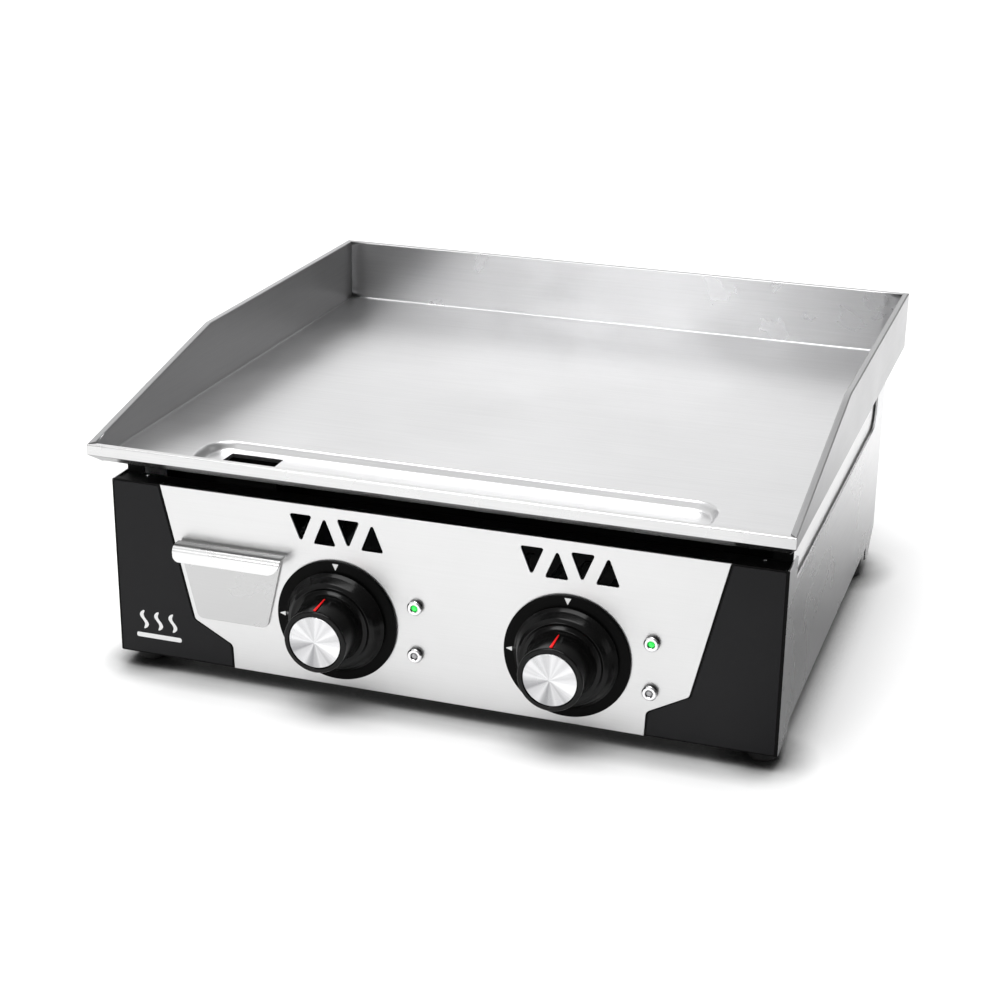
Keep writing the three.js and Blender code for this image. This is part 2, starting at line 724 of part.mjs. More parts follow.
for (const [name, x] of KNOBS) {
  const knob = new THREE.Group();
  assembly.add(knob);
  add(`${name}_dial`, dial(x), blackPlastic);
  add(`${name}_knob`, knobBody(x), blackPlastic, knob);
  add(`${name}_knob_cap`, knobCap(x), spunAluminium, knob);
  add(`${name}_knob_pointer`, pointer(x), redPaint, knob);
  add(`${name}_knob_shaft`, shaft(x), galvanised, knob);
}

// ---------------------------------------------------------------- grease collection
// A chute under the drain hole leads the fat down into the tray.
const CHUTE = { margin: 3, aboveTray: 6 };

function chute() {
  const top = COOK_Z - PLATE_T - CHANNEL.depth - GAP;
  const bottom = TRAY_TOP + CHUTE.aboveTray;
  const square = (m, z0, z1) => box(
    DRAIN.x0 - m, DRAIN.x1 + m, DRAIN.y0 - m, DRAIN.y1 + m, z0, z1,
  );
  const bore = square(CHUTE.margin - FRAME_T, bottom - 1, top + 1);
  return cut(square(CHUTE.margin, bottom, top), bore);
}

const TRAY_RAIL = { x: 26, ledge: 9, y: [6, TRAY_LEN + 4] };

function trayRail(side) {
  const z0 = BASE_Z + SHEET + GAP;
  const z1 = TRAY_BOTTOM - GAP;
  const x = TRAY_X + side * TRAY_RAIL.x;
  const ledge = x - side * TRAY_RAIL.ledge;
  const section = [
    [x, z0], [x + side * SHEET, z0], [x + side * SHEET, z1],
    [ledge, z1], [ledge, z1 - SHEET], [x, z1 - SHEET],
  ];
  return sheetXZ(section, ...TRAY_RAIL.y);
}

const BOX_FRONT = -0.1;          // the box starts just behind the tray's front plate

function trayBox() {
  const outer = sheetXZ(trayTrapezoid(0), BOX_FRONT, TRAY_LEN);
  const inner = sheetXZ(
    trayTrapezoid(-TRAY_WALL, TRAY_BOTTOM + TRAY_WALL, TRAY_TOP + 1),
    BOX_FRONT + TRAY_WALL, TRAY_LEN - TRAY_WALL,
  );
  return cut(outer, inner);
}

// The tray's front: a tapered plate whose top edge curls forwards and down into a grip.
const FRONT_T = 1.6;
const FRONT_BACK = -0.4;
const FRONT_BOTTOM = { z: 48.5, half: 27 };
const FRONT_TOP_HALF = 39.6;
const GRIP_BOTTOM = 94.5;
const GRIP = { low: TRAY_X - 38, high: TRAY_X + 43 };
const CURL = 6;                  // height of the bend over the grip
const GRIP_JOIN = HANDLE_TOP - 4;

function trayFront() {
  const y1 = FRONT_BACK;
  const y0 = y1 - FRONT_T;
  const plate = sheetXZ([
    [TRAY_X - FRONT_BOTTOM.half, FRONT_BOTTOM.z, 4],
    [TRAY_X + FRONT_BOTTOM.half, FRONT_BOTTOM.z, 4],
    [TRAY_X + FRONT_TOP_HALF, GRIP_JOIN], [TRAY_X - FRONT_TOP_HALF, GRIP_JOIN],
  ], y0, y1);
  const flap = sheetXZ([
    [GRIP.low, GRIP_BOTTOM, 5], [GRIP.high, GRIP_BOTTOM, 8.4],
    [GRIP.high, GRIP_JOIN], [GRIP.low, GRIP_JOIN],
  ], HANDLE_Y, HANDLE_Y + FRONT_T);
  return join(plate, flap, gripCurl(y0, y1));
}

function gripCurl(y0, y1) {
  const z = HANDLE_TOP;
  const section = [
    [y1, z - CURL], [y1, z, 3], [HANDLE_Y, z, 5], [HANDLE_Y, z - CURL],
    [HANDLE_Y + FRONT_T, z - CURL], [HANDLE_Y + FRONT_T, z - FRONT_T, 3.4],
    [y0, z - FRONT_T, 1.4], [y0, z - CURL],
  ];
  return sheetYZ(section, GRIP.low, GRIP.high);
}

add('grease_chute', chute(), galvanised);
add('left_tray_rail', trayRail(-1), galvanised);
add('right_tray_rail', trayRail(1), galvanised);
const drawer = new THREE.Group();
assembly.add(drawer);
add('drip_tray_box', trayBox(), bodySteel, drawer);
add('drip_tray_front', trayFront(), fasciaSteel, drawer);

export default griddle;
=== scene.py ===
"""Looks of a two-zone countertop griddle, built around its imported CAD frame.

Lengths are metres. Sizes read from the frame are used as they are; finer ones, such as edge
radii, are given in millimetres and multiplied by MM. The front of the griddle faces -Y.
"""

import math

import bmesh
import bpy
import numpy as np
from mathutils import Matrix, Vector


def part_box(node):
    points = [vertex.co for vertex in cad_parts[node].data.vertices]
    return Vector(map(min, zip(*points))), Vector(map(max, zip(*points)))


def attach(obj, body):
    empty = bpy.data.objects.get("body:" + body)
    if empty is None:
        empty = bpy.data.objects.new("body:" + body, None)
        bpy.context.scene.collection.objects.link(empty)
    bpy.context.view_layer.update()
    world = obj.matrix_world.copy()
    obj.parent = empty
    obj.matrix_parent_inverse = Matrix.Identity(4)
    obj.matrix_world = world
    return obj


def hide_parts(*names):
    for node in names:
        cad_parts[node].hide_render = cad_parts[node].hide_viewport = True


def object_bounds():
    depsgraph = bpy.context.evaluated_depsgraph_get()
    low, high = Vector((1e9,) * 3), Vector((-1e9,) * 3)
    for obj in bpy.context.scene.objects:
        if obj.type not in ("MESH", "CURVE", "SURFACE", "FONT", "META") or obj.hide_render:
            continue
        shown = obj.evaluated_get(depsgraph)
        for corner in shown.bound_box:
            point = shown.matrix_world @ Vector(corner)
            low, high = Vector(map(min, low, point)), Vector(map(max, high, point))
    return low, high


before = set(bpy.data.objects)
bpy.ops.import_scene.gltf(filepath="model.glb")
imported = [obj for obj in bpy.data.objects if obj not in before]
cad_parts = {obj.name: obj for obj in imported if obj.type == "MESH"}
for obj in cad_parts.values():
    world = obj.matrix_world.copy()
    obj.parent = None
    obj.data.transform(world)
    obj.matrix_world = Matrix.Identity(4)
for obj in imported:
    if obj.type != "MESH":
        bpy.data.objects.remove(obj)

cad_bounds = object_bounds()

MM = 0.001
HOUSING = "housing"
TRAY = "drip_tray"
SIDES = (("left", -1), ("right", 1))

# ------------------------------------------------------------------ camera and studio
CAMERA_AT = Vector((0.4420, -1.3890, 0.6491))
CAMERA_YAW = -0.3218      # turn from +Y towards +X
CAMERA_PITCH = 0.3677     # tilt below the horizon
CAMERA_ROLL = 0.0133
CAMERA_LENS = 72.5


def camera():
    """Looks along (sin yaw cos pitch, cos yaw cos pitch, -sin pitch), rolled about that line."""
    forward = Vector((
        math.sin(CAMERA_YAW) * math.cos(CAMERA_PITCH),
        math.cos(CAMERA_YAW) * math.cos(CAMERA_PITCH),
        -math.sin(CAMERA_PITCH),
    ))
    level = Vector((math.cos(CAMERA_YAW), -math.sin(CAMERA_YAW), 0))
    above = level.cross(forward)
    right = level * math.cos(CAMERA_ROLL) + above * math.sin(CAMERA_ROLL)
    up = above * math.cos(CAMERA_ROLL) - level * math.sin(CAMERA_ROLL)
    data = bpy.data.cameras.new("camera")
    data.lens = CAMERA_LENS
    data.sensor_width = 36
    data.clip_end = 50
    eye = bpy.data.objects.new("camera", data)
    bpy.context.scene.collection.objects.link(eye)
    turn = Matrix((right, up, -forward)).transposed().to_4x4()
    eye.matrix_world = Matrix.Translation(CAMERA_AT) @ turn
    bpy.context.scene.camera = eye


def softbox(name, at, aim, size, power):
    """A rectangular area light at a point, aimed at another."""
    data = bpy.data.lights.new(name, "AREA")
    data.shape = "RECTANGLE"
    data.size, data.size_y = size
    data.energy = power
    lamp = bpy.data.objects.new(name, data)
    bpy.context.scene.collection.objects.link(lamp)
    lamp.location = at
    lamp.rotation_euler = (Vector(aim) - Vector(at)).to_track_quat("-Z", "Y").to_euler()


def surround():
    """A pale surround that darkens from left to right and down towards the horizon.

    Its full brightness starts higher up in front of the griddle than behind it.
    """
    world = bpy.data.worlds.new("studio")
    world.use_nodes = True
    nodes = Nodes(world.node_tree)
    direction = nodes.add("ShaderNodeTexCoord").outputs["Generated"]
    split = nodes.add("ShaderNodeSeparateXYZ", None, Vector=direction)
    across = nodes.remap(split.outputs["X"], 1.0, 0.17, -0.8, 0.8)
    level_start = nodes.remap(split.outputs["Y"], 0.62, 0.34, -0.5, 0.2)
    upwards = nodes.remap(split.outputs["Z"], 0.12, 1.0, 0.02, level_start)
    nodes.feed(
        world.node_tree.nodes["Background"], "Strength", nodes.math("MULTIPLY", across, upwards),
    )
    world.node_tree.nodes["Background"].inputs["Color"].default_value = (1, 1, 1, 1)
    bpy.context.scene.world = world


def overhead():
    """One soft overhead light, a little in front and to the left."""
    data = bpy.data.lights.new("overhead", "SUN")
    data.energy = 2.35
    data.angle = math.radians(46)
    lamp = bpy.data.objects.new("overhead", data)
    bpy.context.scene.collection.objects.link(lamp)
    lamp.rotation_euler = Vector((-0.03, -0.10, 1)).to_track_quat("Z", "Y").to_euler()


def studio():
    """The surround, the overhead light and soft panels at the back, the front and the right."""
    surround()
    overhead()
    softbox("back_strip", (-0.75, 2.2, 1.15), (0, 0, 0.15), (2.1, 0.9), 3.6)
    softbox("front_left", (-0.65, -2.2, 0.9), (0, 0.1, 0.16), (0.6, 0.6), 9.0)
    softbox("right_low", (2.2, 0.2, 0.55), (0.24, 0, 0.12), (0.8, 0.8), 12.0)
    bpy.context.scene.view_settings.view_transform = "Standard"
    bpy.context.scene.view_settings.look = "None"


def floor():
    """A wide pale floor, level with the feet."""
    half = 6.0
    low = cad_bounds[0][2]
    corners = [(-half, -half, low), (half, -half, low), (half, half, low), (-half, half, low)]
    ground = mesh_object("floor", np.array(corners), [(0, 1, 2, 3)])
    ground.data.materials.append(MATERIALS["floor"])


# ------------------------------------------------------------------ mesh helpers
def mesh_object(name, points, faces, smooth=False):
    """A mesh object from an (n, 3) array and a list of faces."""
    mesh = bpy.data.meshes.new(name)
    mesh.from_pydata(np.asarray(points, float).tolist(), [], [tuple(map(int, f)) for f in faces])
    mesh.update()
    mesh.polygons.foreach_set("use_smooth", np.full(len(mesh.polygons), smooth))
    item = bpy.data.objects.new(name, mesh)
    bpy.context.scene.collection.objects.link(item)
    return item


def outward(item, merge=0.0):
    """Merges doubled points if asked, then turns every face of a closed shell outwards."""
    bm = bmesh.new()
    bm.from_mesh(item.data)
    if merge:
        bmesh.ops.remove_doubles(bm, verts=bm.verts, dist=merge)
    bmesh.ops.recalc_face_normals(bm, faces=bm.faces)
    bm.to_mesh(item.data)
    bm.free()
    item.data.update()


def crease(item, degrees=35):
    """Smooth shading everywhere but across edges sharper than the angle."""
    mesh = item.data
    mesh.polygons.foreach_set("use_smooth", np.ones(len(mesh.polygons), bool))
    mesh.set_sharp_from_angle(angle=math.radians(degrees))


def weigh_normals(item):
    """Large flat faces keep flat shading while the narrow rounded edges shade smoothly."""
    crease(item, 60)
    keep = item.modifiers.new("weighted", "WEIGHTED_NORMAL")
    keep.keep_sharp = True
    keep.weight = 100


def soften(item, width, segments):
    """A bevel modifier on the sheet's cut edges, which are sharper than its bends."""
    edge = item.modifiers.new("bevel", "BEVEL")
    edge.width = width
    edge.segments = segments
    edge.limit_method = "ANGLE"
    edge.angle_limit = math.radians(50)
    edge.harden_normals = True


def rounded(corners, closed=True, steps=6):
    """Each (a, b, r) corner of an outline becomes an arc of radius r tangent to both sides."""
    corners = [(c[0], c[1], c[2] if len(c) > 2 else 0.0) for c in corners]
    count = len(corners)
    out = []
    for i, (a, b, r) in enumerate(corners):
        here = np.array((a, b), float)
        at_end = not closed and i in (0, count - 1)
        if r <= 0 or at_end:
            out.append(here)
            continue
        back = np.array(corners[i - 1][:2]) - here
        ahead = np.array(corners[(i + 1) % count][:2]) - here
        reach = min(np.hypot(*back), np.hypot(*ahead)) * 0.499
        back, ahead = back / np.hypot(*back), ahead / np.hypot(*ahead)
        half = math.acos(float(np.clip(back @ ahead, -1, 1))) / 2
        if half > math.pi / 2 - 1e-3:
            out.append(here)
            continue
        run = min(r / math.tan(half), reach)
        radius = run * math.tan(half)
        bisector = (back + ahead) / np.hypot(*(back + ahead))
        centre = here + bisector * radius / math.sin(half)
        start = here + back * run - centre
        turn = np.sign(back[0] * ahead[1] - back[1] * ahead[0]) * -1
        angles = turn * np.linspace(0, math.pi - 2 * half, steps + 1)
        cos, sin = np.cos(angles), np.sin(angles)
        arc = np.stack([start[0] * cos - start[1] * sin, start[0] * sin + start[1] * cos], 1)
        out.extend(centre + arc)
    return np.array(out)


def grid_faces(rows, columns, wrap_rows=False, wrap_columns=False):
    """Quads joining neighbours of a rows x columns grid of points."""
    i = np.arange(rows if wrap_rows else rows - 1)[:, None]
    j = np.arange(columns if wrap_columns else columns - 1)[None, :]
    a = i * columns + j
    b = i * columns + (j + 1) % columns
    c = ((i + 1) % rows) * columns + (j + 1) % columns
    d = ((i + 1) % rows) * columns + j
    quads = np.stack([a, b, c, d], -1).reshape(-1, 4)
    return [tuple(q) for q in quads.tolist()]


AXIS_FRAMES = {            # rows: across, across, along the axis of a turned piece
    "Y": np.array([[1, 0, 0], [0, 0, 1], [0, 1, 0]], float),
    "Z": np.array([[1, 0, 0], [0, 1, 0], [0, 0, 1]], float),
}


def turned(name, profile, centre, axis="Y", segments=96):
    """A surface of revolution: (r cos a, r sin a) across the axis, the second value along it.

    A profile that starts and ends at radius zero closes in two poles; any other closes on itself.
    """
    profile = np.asarray(profile, float)
    poles = profile[0, 0] < 1e-9 and profile[-1, 0] < 1e-9
    rings = profile[1:-1] if poles else profile
    angle = np.linspace(0, 2 * math.pi, segments, endpoint=False)
    across = np.stack([np.cos(angle), np.sin(angle)], 1)
    local = np.concatenate([
        rings[:, None, :1] * across[None],
        np.repeat(rings[:, None, 1:], segments, 1),
    ], -1)
    basis = AXIS_FRAMES[axis]
    points = local.reshape(-1, 3)
    count = len(rings)
    faces = grid_faces(count, segments, wrap_rows=not poles, wrap_columns=True)
    if poles:
        ends = np.array([[0, 0, profile[0, 1]], [0, 0, profile[-1, 1]]])
        points = np.concatenate([points, ends])
        first, last = count * segments, count * segments + 1
        ring = range(segments)
        top = (count - 1) * segments
        faces += [(first, (k + 1) % segments, k) for k in ring]
        faces += [(last, top + k, top + (k + 1) % segments) for k in ring]
    item = mesh_object(name, points @ basis + np.array(centre), faces, smooth=True)
    outward(item)
    return item


PLANES = {                 # the outline's first and second direction, and the thickness's
    "XZ": (np.array([1, 0, 0.0]), np.array([0, 0, 1.0]), np.array([0, 1.0, 0])),
    "YZ": (np.array([0, 1, 0.0]), np.array([0, 0, 1.0]), np.array([1.0, 0, 0])),
    "XY": (np.array([1, 0, 0.0]), np.array([0, 1.0, 0]), np.array([0, 0, 1.0])),
}


def flat_sheet(name, loops, plane, low, high, edge):
    """A sheet with holes: closed loops in a plane, thickened between low and high.

    The first loop is the outer edge. Every edge is rounded by a quarter circle of radius edge.
    """
    curve = bpy.data.curves.new(name, "CURVE")
    curve.dimensions = "2D"
    curve.fill_mode = "BOTH"
    curve.extrude = (high - low) / 2 - edge
    curve.bevel_depth = edge
    curve.bevel_resolution = 2
    curve.offset = -edge
    for loop in loops:
        spline = curve.splines.new("POLY")
        spline.points.add(len(loop) - 1)
        flat = np.concatenate([loop, np.zeros((len(loop), 1)), np.ones((len(loop), 1))], 1)
        spline.points.foreach_set("co", flat.ravel())
        spline.use_cyclic_u = True
    holder = bpy.data.objects.new(name + "_outline", curve)
    bpy.context.scene.collection.objects.link(holder)
    bpy.context.view_layer.update()
    shaped = holder.evaluated_get(bpy.context.evaluated_depsgraph_get())
    mesh = bpy.data.meshes.new_from_object(shaped)
    bpy.data.objects.remove(holder)
    bpy.data.curves.remove(curve)
    co = np.zeros(len(mesh.vertices) * 3)
    mesh.vertices.foreach_get("co", co)
    co = co.reshape(-1, 3)
    along, up, through = PLANES[plane]
    middle = (low + high) / 2
    placed = co[:, :1] * along + co[:, 1:2] * up + (co[:, 2:] + middle) * through
    mesh.vertices.foreach_set("co", placed.ravel())
    mesh.name = name
    item = bpy.data.objects.new(name, mesh)
    bpy.context.scene.collection.objects.link(item)
    outward(item, merge=1e-6)
    weigh_normals(item)
    return item


def piece(item, body, slot, material, *nodes):
    """Finishes a piece: attaches it to its body, gives it its material and hides the nodes it
    stands for. The record slot is not used.
    """
    item.data.materials.clear()
    item.data.materials.append(MATERIALS[material])
    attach(item, body)
    if nodes:
        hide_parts(*nodes)
    return item


def second_material(item, material, chosen):
    """Gives a second material to the faces whose normals, as an (n, 3) array, are chosen."""
    item.data.materials.append(MATERIALS[material])
    normals = np.zeros(len(item.data.polygons) * 3)
    item.data.polygons.foreach_get("normal", normals)
    index = chosen(normals.reshape(-1, 3)).astype(int)
    item.data.polygons.foreach_set("material_index", index)


# ------------------------------------------------------------------ node helpers
class Nodes:
    """A small builder of node trees: makes nodes, sets their sockets and links them."""

    def __init__(self, tree):
        self.tree = tree

    def add(self, kind, settings=None, **sockets):
        node = self.tree.nodes.new(kind)
        for key, value in (settings or {}).items():
            setattr(node, key, value)
        for key, value in sockets.items():
            self.feed(node, key.replace("_", " "), value)
        return node

    def feed(self, node, socket, value):
        target = node.inputs[int(socket)] if socket.isdigit() else node.inputs[socket]
        if isinstance(value, bpy.types.NodeSocket):
            self.tree.links.new(value, target)
        else:
            target.default_value = value

    def math(self, operation, a, b=0.5, clamp=False):
        node = self.add("ShaderNodeMath", {"operation": operation, "use_clamp": clamp})
        self.feed(node, "0", a)
        self.feed(node, "1", b)
        return node.outputs[0]

    def remap(self, value, low, high, from_low=0.0, from_high=1.0):
        node = self.add("ShaderNodeMapRange", {"clamp": True})
        sockets = ("Value", "From Min", "From Max", "To Min", "To Max")
        for key, number in zip(sockets, (value, from_low, from_high, low, high)):
            self.feed(node, key, number)
        return node.outputs["Result"]

    def blend(self, factor, a, b):
        node = self.add("ShaderNodeMix", {"data_type": "RGBA"})
        self.feed(node, "0", factor)
        self.feed(node, "6", a)
        self.feed(node, "7", b)
        return node.outputs[2]


def effect_group(name, inputs, outputs):
    """An empty shader node group with named value inputs and outputs."""
    group = bpy.data.node_groups.new(name, "ShaderNodeTree")
    for label, kind, default in inputs:
        socket = group.interface.new_socket(name=label, in_out="INPUT", socket_type=kind)
        if default is not None:
            socket.default_value = default
    for label, kind in outputs:
        group.interface.new_socket(name=label, in_out="OUTPUT", socket_type=kind)
    nodes = Nodes(group)
    start = nodes.add("NodeGroupInput")
    end = nodes.add("NodeGroupOutput")
    return group, nodes, start, end


FLOAT = "NodeSocketFloat"
VECTOR = "NodeSocketVector"


def brushed_group():
    """Brushed grain: noise stretched along one axis, coarse strokes mixed with fine ones."""
    group, nodes, start, end = effect_group(
        "brushed_grain",
        [("Vector", VECTOR, None), ("Scale", FLOAT, 900.0), ("Fine", FLOAT, 0.5)],
        [("Height", FLOAT), ("Tone", FLOAT)],
    )
    coarse = nodes.add("ShaderNodeTexNoise", {"noise_dimensions": "3D"}, Detail=3.0, Roughness=0.6)
    nodes.feed(coarse, "Vector", start.outputs["Vector"])
    nodes.feed(coarse, "Scale", start.outputs["Scale"])
    finer = nodes.math("MULTIPLY", start.outputs["Scale"], 3.1)
    fine = nodes.add("ShaderNodeTexNoise", {"noise_dimensions": "3D"}, Detail=2.0, Roughness=0.7)
    nodes.feed(fine, "Vector", start.outputs["Vector"])
    nodes.feed(fine, "Scale", finer)
    mixed = nodes.add("ShaderNodeMix", {"data_type": "FLOAT"})
    nodes.feed(mixed, "0", start.outputs["Fine"])
    nodes.feed(mixed, "2", coarse.outputs["Fac"])
    nodes.feed(mixed, "3", fine.outputs["Fac"])
    nodes.feed(end, "Height", mixed.outputs[0])
    nodes.feed(end, "Tone", nodes.remap(mixed.outputs[0], 0.0, 1.0, 0.3, 0.7))
    return group


def handled_group():
    """Handling: broad soft smudges and a few small specks of dust."""
    group, nodes, start, end = effect_group(
        "handled",
        [("Vector", VECTOR, None), ("Smudge Scale", FLOAT, 14.0), ("Speck Scale", FLOAT, 420.0)],
        [("Smudge", FLOAT), ("Speck", FLOAT)],
    )
    smudge = nodes.add("ShaderNodeTexNoise", None, Detail=4.0, Roughness=0.55, Distortion=0.6)
    nodes.feed(smudge, "Vector", start.outputs["Vector"])
    nodes.feed(smudge, "Scale", start.outputs["Smudge Scale"])
    speck = nodes.add("ShaderNodeTexVoronoi", None)
    nodes.feed(speck, "Vector", start.outputs["Vector"])
    nodes.feed(speck, "Scale", start.outputs["Speck Scale"])
    nodes.feed(end, "Smudge", nodes.remap(smudge.outputs["Fac"], 0.0, 1.0, 0.35, 0.7))
    nodes.feed(end, "Speck", nodes.remap(speck.outputs["Distance"], 1.0, 0.0, 0.02, 0.09))
    return group


def grain_group():
    """Fine even grain of a moulded or lacquered surface."""
    group, nodes, start, end = effect_group(
        "fine_grain",
        [("Vector", VECTOR, None), ("Scale", FLOAT, 1500.0)],
        [("Height", FLOAT)],
    )
    noise = nodes.add("ShaderNodeTexNoise", None, Detail=2.0, Roughness=0.6)
    nodes.feed(noise, "Vector", start.outputs["Vector"])
    nodes.feed(noise, "Scale", start.outputs["Scale"])
    nodes.feed(end, "Height", noise.outputs["Fac"])
    return group


# ------------------------------------------------------------------ materials
MATERIALS = {}
GROUPS = {}
TRAY_SHEET = 1.6 * MM
TRAY_FACE_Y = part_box("drip_tray_front")[1].y - TRAY_SHEET    # outer face of the tray's plate
TRAY_TOP_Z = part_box("drip_tray_front")[1].z


def start_material(name):
    material = bpy.data.materials.new(name)
    material.use_nodes = True
    nodes = Nodes(material.node_tree)
    shader = material.node_tree.nodes["Principled BSDF"]
    place = nodes.add("ShaderNodeTexCoord").outputs["Object"]
    MATERIALS[name] = material
    return nodes, shader, place


def use_group(nodes, name, **values):
    node = nodes.add("ShaderNodeGroup", {"node_tree": GROUPS[name]})
    for key, value in values.items():
        nodes.feed(node, key.replace("_", " "), value)
    return node


def stretched(nodes, place, scale):
    """Object coordinates stretched per axis: small numbers draw the grain out along that axis."""
    mapping = nodes.add("ShaderNodeMapping", None, Vector=place)
    mapping.inputs["Scale"].default_value = scale
    return mapping.outputs["Vector"]


def relief(nodes, shader, height, strength):
    """Tips the surface's normals by the height's slope, as if it were 0.1 mm deep."""
    bump = nodes.add("ShaderNodeBump", None, Height=height)
    bump.inputs["Strength"].default_value = strength
    bump.inputs["Distance"].default_value = 0.1 * MM
    nodes.feed(shader, "Normal", bump.outputs["Normal"])


def steel(name, colour, roughness, grain_along, anisotropic=0.0, bump=0.05, spread=0.08,
          grain_scale=900.0, tone=0.06, metallic=1.0, shade=()):
    """Brushed sheet metal: stretched grain in the height and tone, smudges in the roughness.

    Each (axis, start, end, factor) in shade paints shade: it darkens the colour from full at start
    to factor at end.
    """
    nodes, shader, place = start_material(name)
    lengthways = [1.0 if axis != grain_along else 0.012 for axis in "XYZ"]
    grain = use_group(
        nodes, "brushed_grain", Vector=stretched(nodes, place, lengthways), Scale=grain_scale,
    )
    handled = use_group(nodes, "handled", Vector=place)
    dark = tuple(c * (1 - tone) for c in colour) + (1,)
    light = tuple(min(1, c * (1 + tone)) for c in colour) + (1,)
    tinted = nodes.blend(grain.outputs["Tone"], dark, light)
    split = nodes.add("ShaderNodeSeparateXYZ", None, Vector=place) if shade else None
    # Each band is painted shade laid over the steel's colour.
    for axis, begin, finish, factor in shade:
        painted_darkening = nodes.remap(split.outputs[axis], 0.0, 1 - factor, begin, finish)
        tinted = nodes.blend(painted_darkening, tinted, (0, 0, 0, 1))
    nodes.feed(shader, "Base Color", tinted)
    rough = nodes.remap(handled.outputs["Smudge"], roughness - spread, roughness + spread)
    dusty = nodes.math("MULTIPLY", handled.outputs["Speck"], 0.25)
    nodes.feed(shader, "Roughness", nodes.math("ADD", rough, dusty, clamp=True))
    shader.inputs["Metallic"].default_value = metallic
    shader.inputs["Anisotropic"].default_value = anisotropic
    relief(nodes, shader, grain.outputs["Height"], bump)


def coated(name, colour, roughness, coat=0.0, bump=0.03, grain_scale=1500.0, spread=0.05,
           specular=0.5):
    """Lacquer or moulded plastic: fine grain in the height, smudges and specks in the roughness."""
    nodes, shader, place = start_material(name)
    grain = use_group(nodes, "fine_grain", Vector=place, Scale=grain_scale)
    handled = use_group(nodes, "handled", Vector=place)
    dust = tuple(min(1, c + 0.03) for c in colour) + (1,)
    nodes.feed(shader, "Base Color", nodes.blend(
        nodes.math("MULTIPLY", handled.outputs["Speck"], 0.5), tuple(colour) + (1,), dust,
    ))
    nodes.feed(shader, "Roughness", nodes.remap(
        handled.outputs["Smudge"], max(0.02, roughness - spread), roughness + spread,
    ))
    shader.inputs["Specular IOR Level"].default_value = specular
    shader.inputs["Coat Weight"].default_value = coat
    shader.inputs["Coat Roughness"].default_value = 0.08
    relief(nodes, shader, grain.outputs["Height"], bump)


def spun_metal(name, ring_scale):
    """Spun aluminium: noise in the UV's v, the radius, gives turning lines; noise on a circle
    walked by its u, the angle, paints bright and dark wedges: a painted reflection, the sheen of a
    turned face."""
    nodes, shader, place = start_material(name)
    uv = nodes.add("ShaderNodeUVMap", {"uv_map": "turning"})
    mapping = nodes.add("ShaderNodeMapping", None, Vector=uv.outputs["UV"])
    mapping.inputs["Scale"].default_value = (0.6, ring_scale, 1)
    rings = nodes.add("ShaderNodeTexNoise", None, Scale=1.0, Detail=3.0, Roughness=0.7)
    nodes.feed(rings, "Vector", mapping.outputs["Vector"])
    angle = nodes.math(
        "MULTIPLY", nodes.add("ShaderNodeSeparateXYZ", None, Vector=uv.outputs["UV"]).outputs["X"],
        2 * math.pi,
    )
    circle_point = nodes.add(
        "ShaderNodeCombineXYZ", None, X=nodes.math("COSINE", angle), Y=nodes.math("SINE", angle),
    )
    # Painted reflection: noise round the angle gives bright and dark wedges of sheen.
    painted_sheen_sectors = nodes.add("ShaderNodeTexNoise", None, Scale=1.3, Detail=3.0, Roughness=0.45)
    nodes.feed(painted_sheen_sectors, "Vector", circle_point.outputs["Vector"])
    bright = nodes.remap(painted_sheen_sectors.outputs["Fac"], 0.0, 1.0, 0.34, 0.64)
    fine = nodes.remap(rings.outputs["Fac"], -0.12, 0.12, 0.3, 0.7)
    tone = nodes.math("ADD", bright, fine, clamp=True)
    dark, light = (0.32, 0.32, 0.33, 1), (0.84, 0.84, 0.85, 1)
    nodes.feed(shader, "Base Color", nodes.blend(tone, dark, light))
    handled = use_group(nodes, "handled", Vector=place)
    nodes.feed(shader, "Roughness", nodes.remap(handled.outputs["Smudge"], 0.24, 0.34))
    shader.inputs["Metallic"].default_value = 1.0
    shader.inputs["Anisotropic"].default_value = 0.85
    tangent = nodes.add("ShaderNodeTangent", {"direction_type": "UV_MAP", "uv_map": "turning"})
    nodes.feed(shader, "Tangent", tangent.outputs["Tangent"])
    relief(nodes, shader, rings.outputs["Fac"], 0.12)


def lens_plastic(name, colour, glow):
    """A tinted lamp lens; a lit one glows softly from within."""
    nodes, shader, place = start_material(name)
    grain = use_group(nodes, "fine_grain", Vector=place, Scale=600.0)
    shade = nodes.remap(grain.outputs["Height"], 0.8, 1.1)
    deep = tuple(c * 0.6 for c in colour) + (1,)
    nodes.feed(shader, "Base Color", nodes.blend(shade, deep, tuple(colour) + (1,)))
    shader.inputs["Roughness"].default_value = 0.12
    shader.inputs["Coat Weight"].default_value = 0.6
    if glow:
        nodes.feed(shader, "Emission Color", nodes.blend(shade, deep, tuple(colour) + (1,)))
        shader.inputs["Emission Strength"].default_value = glow


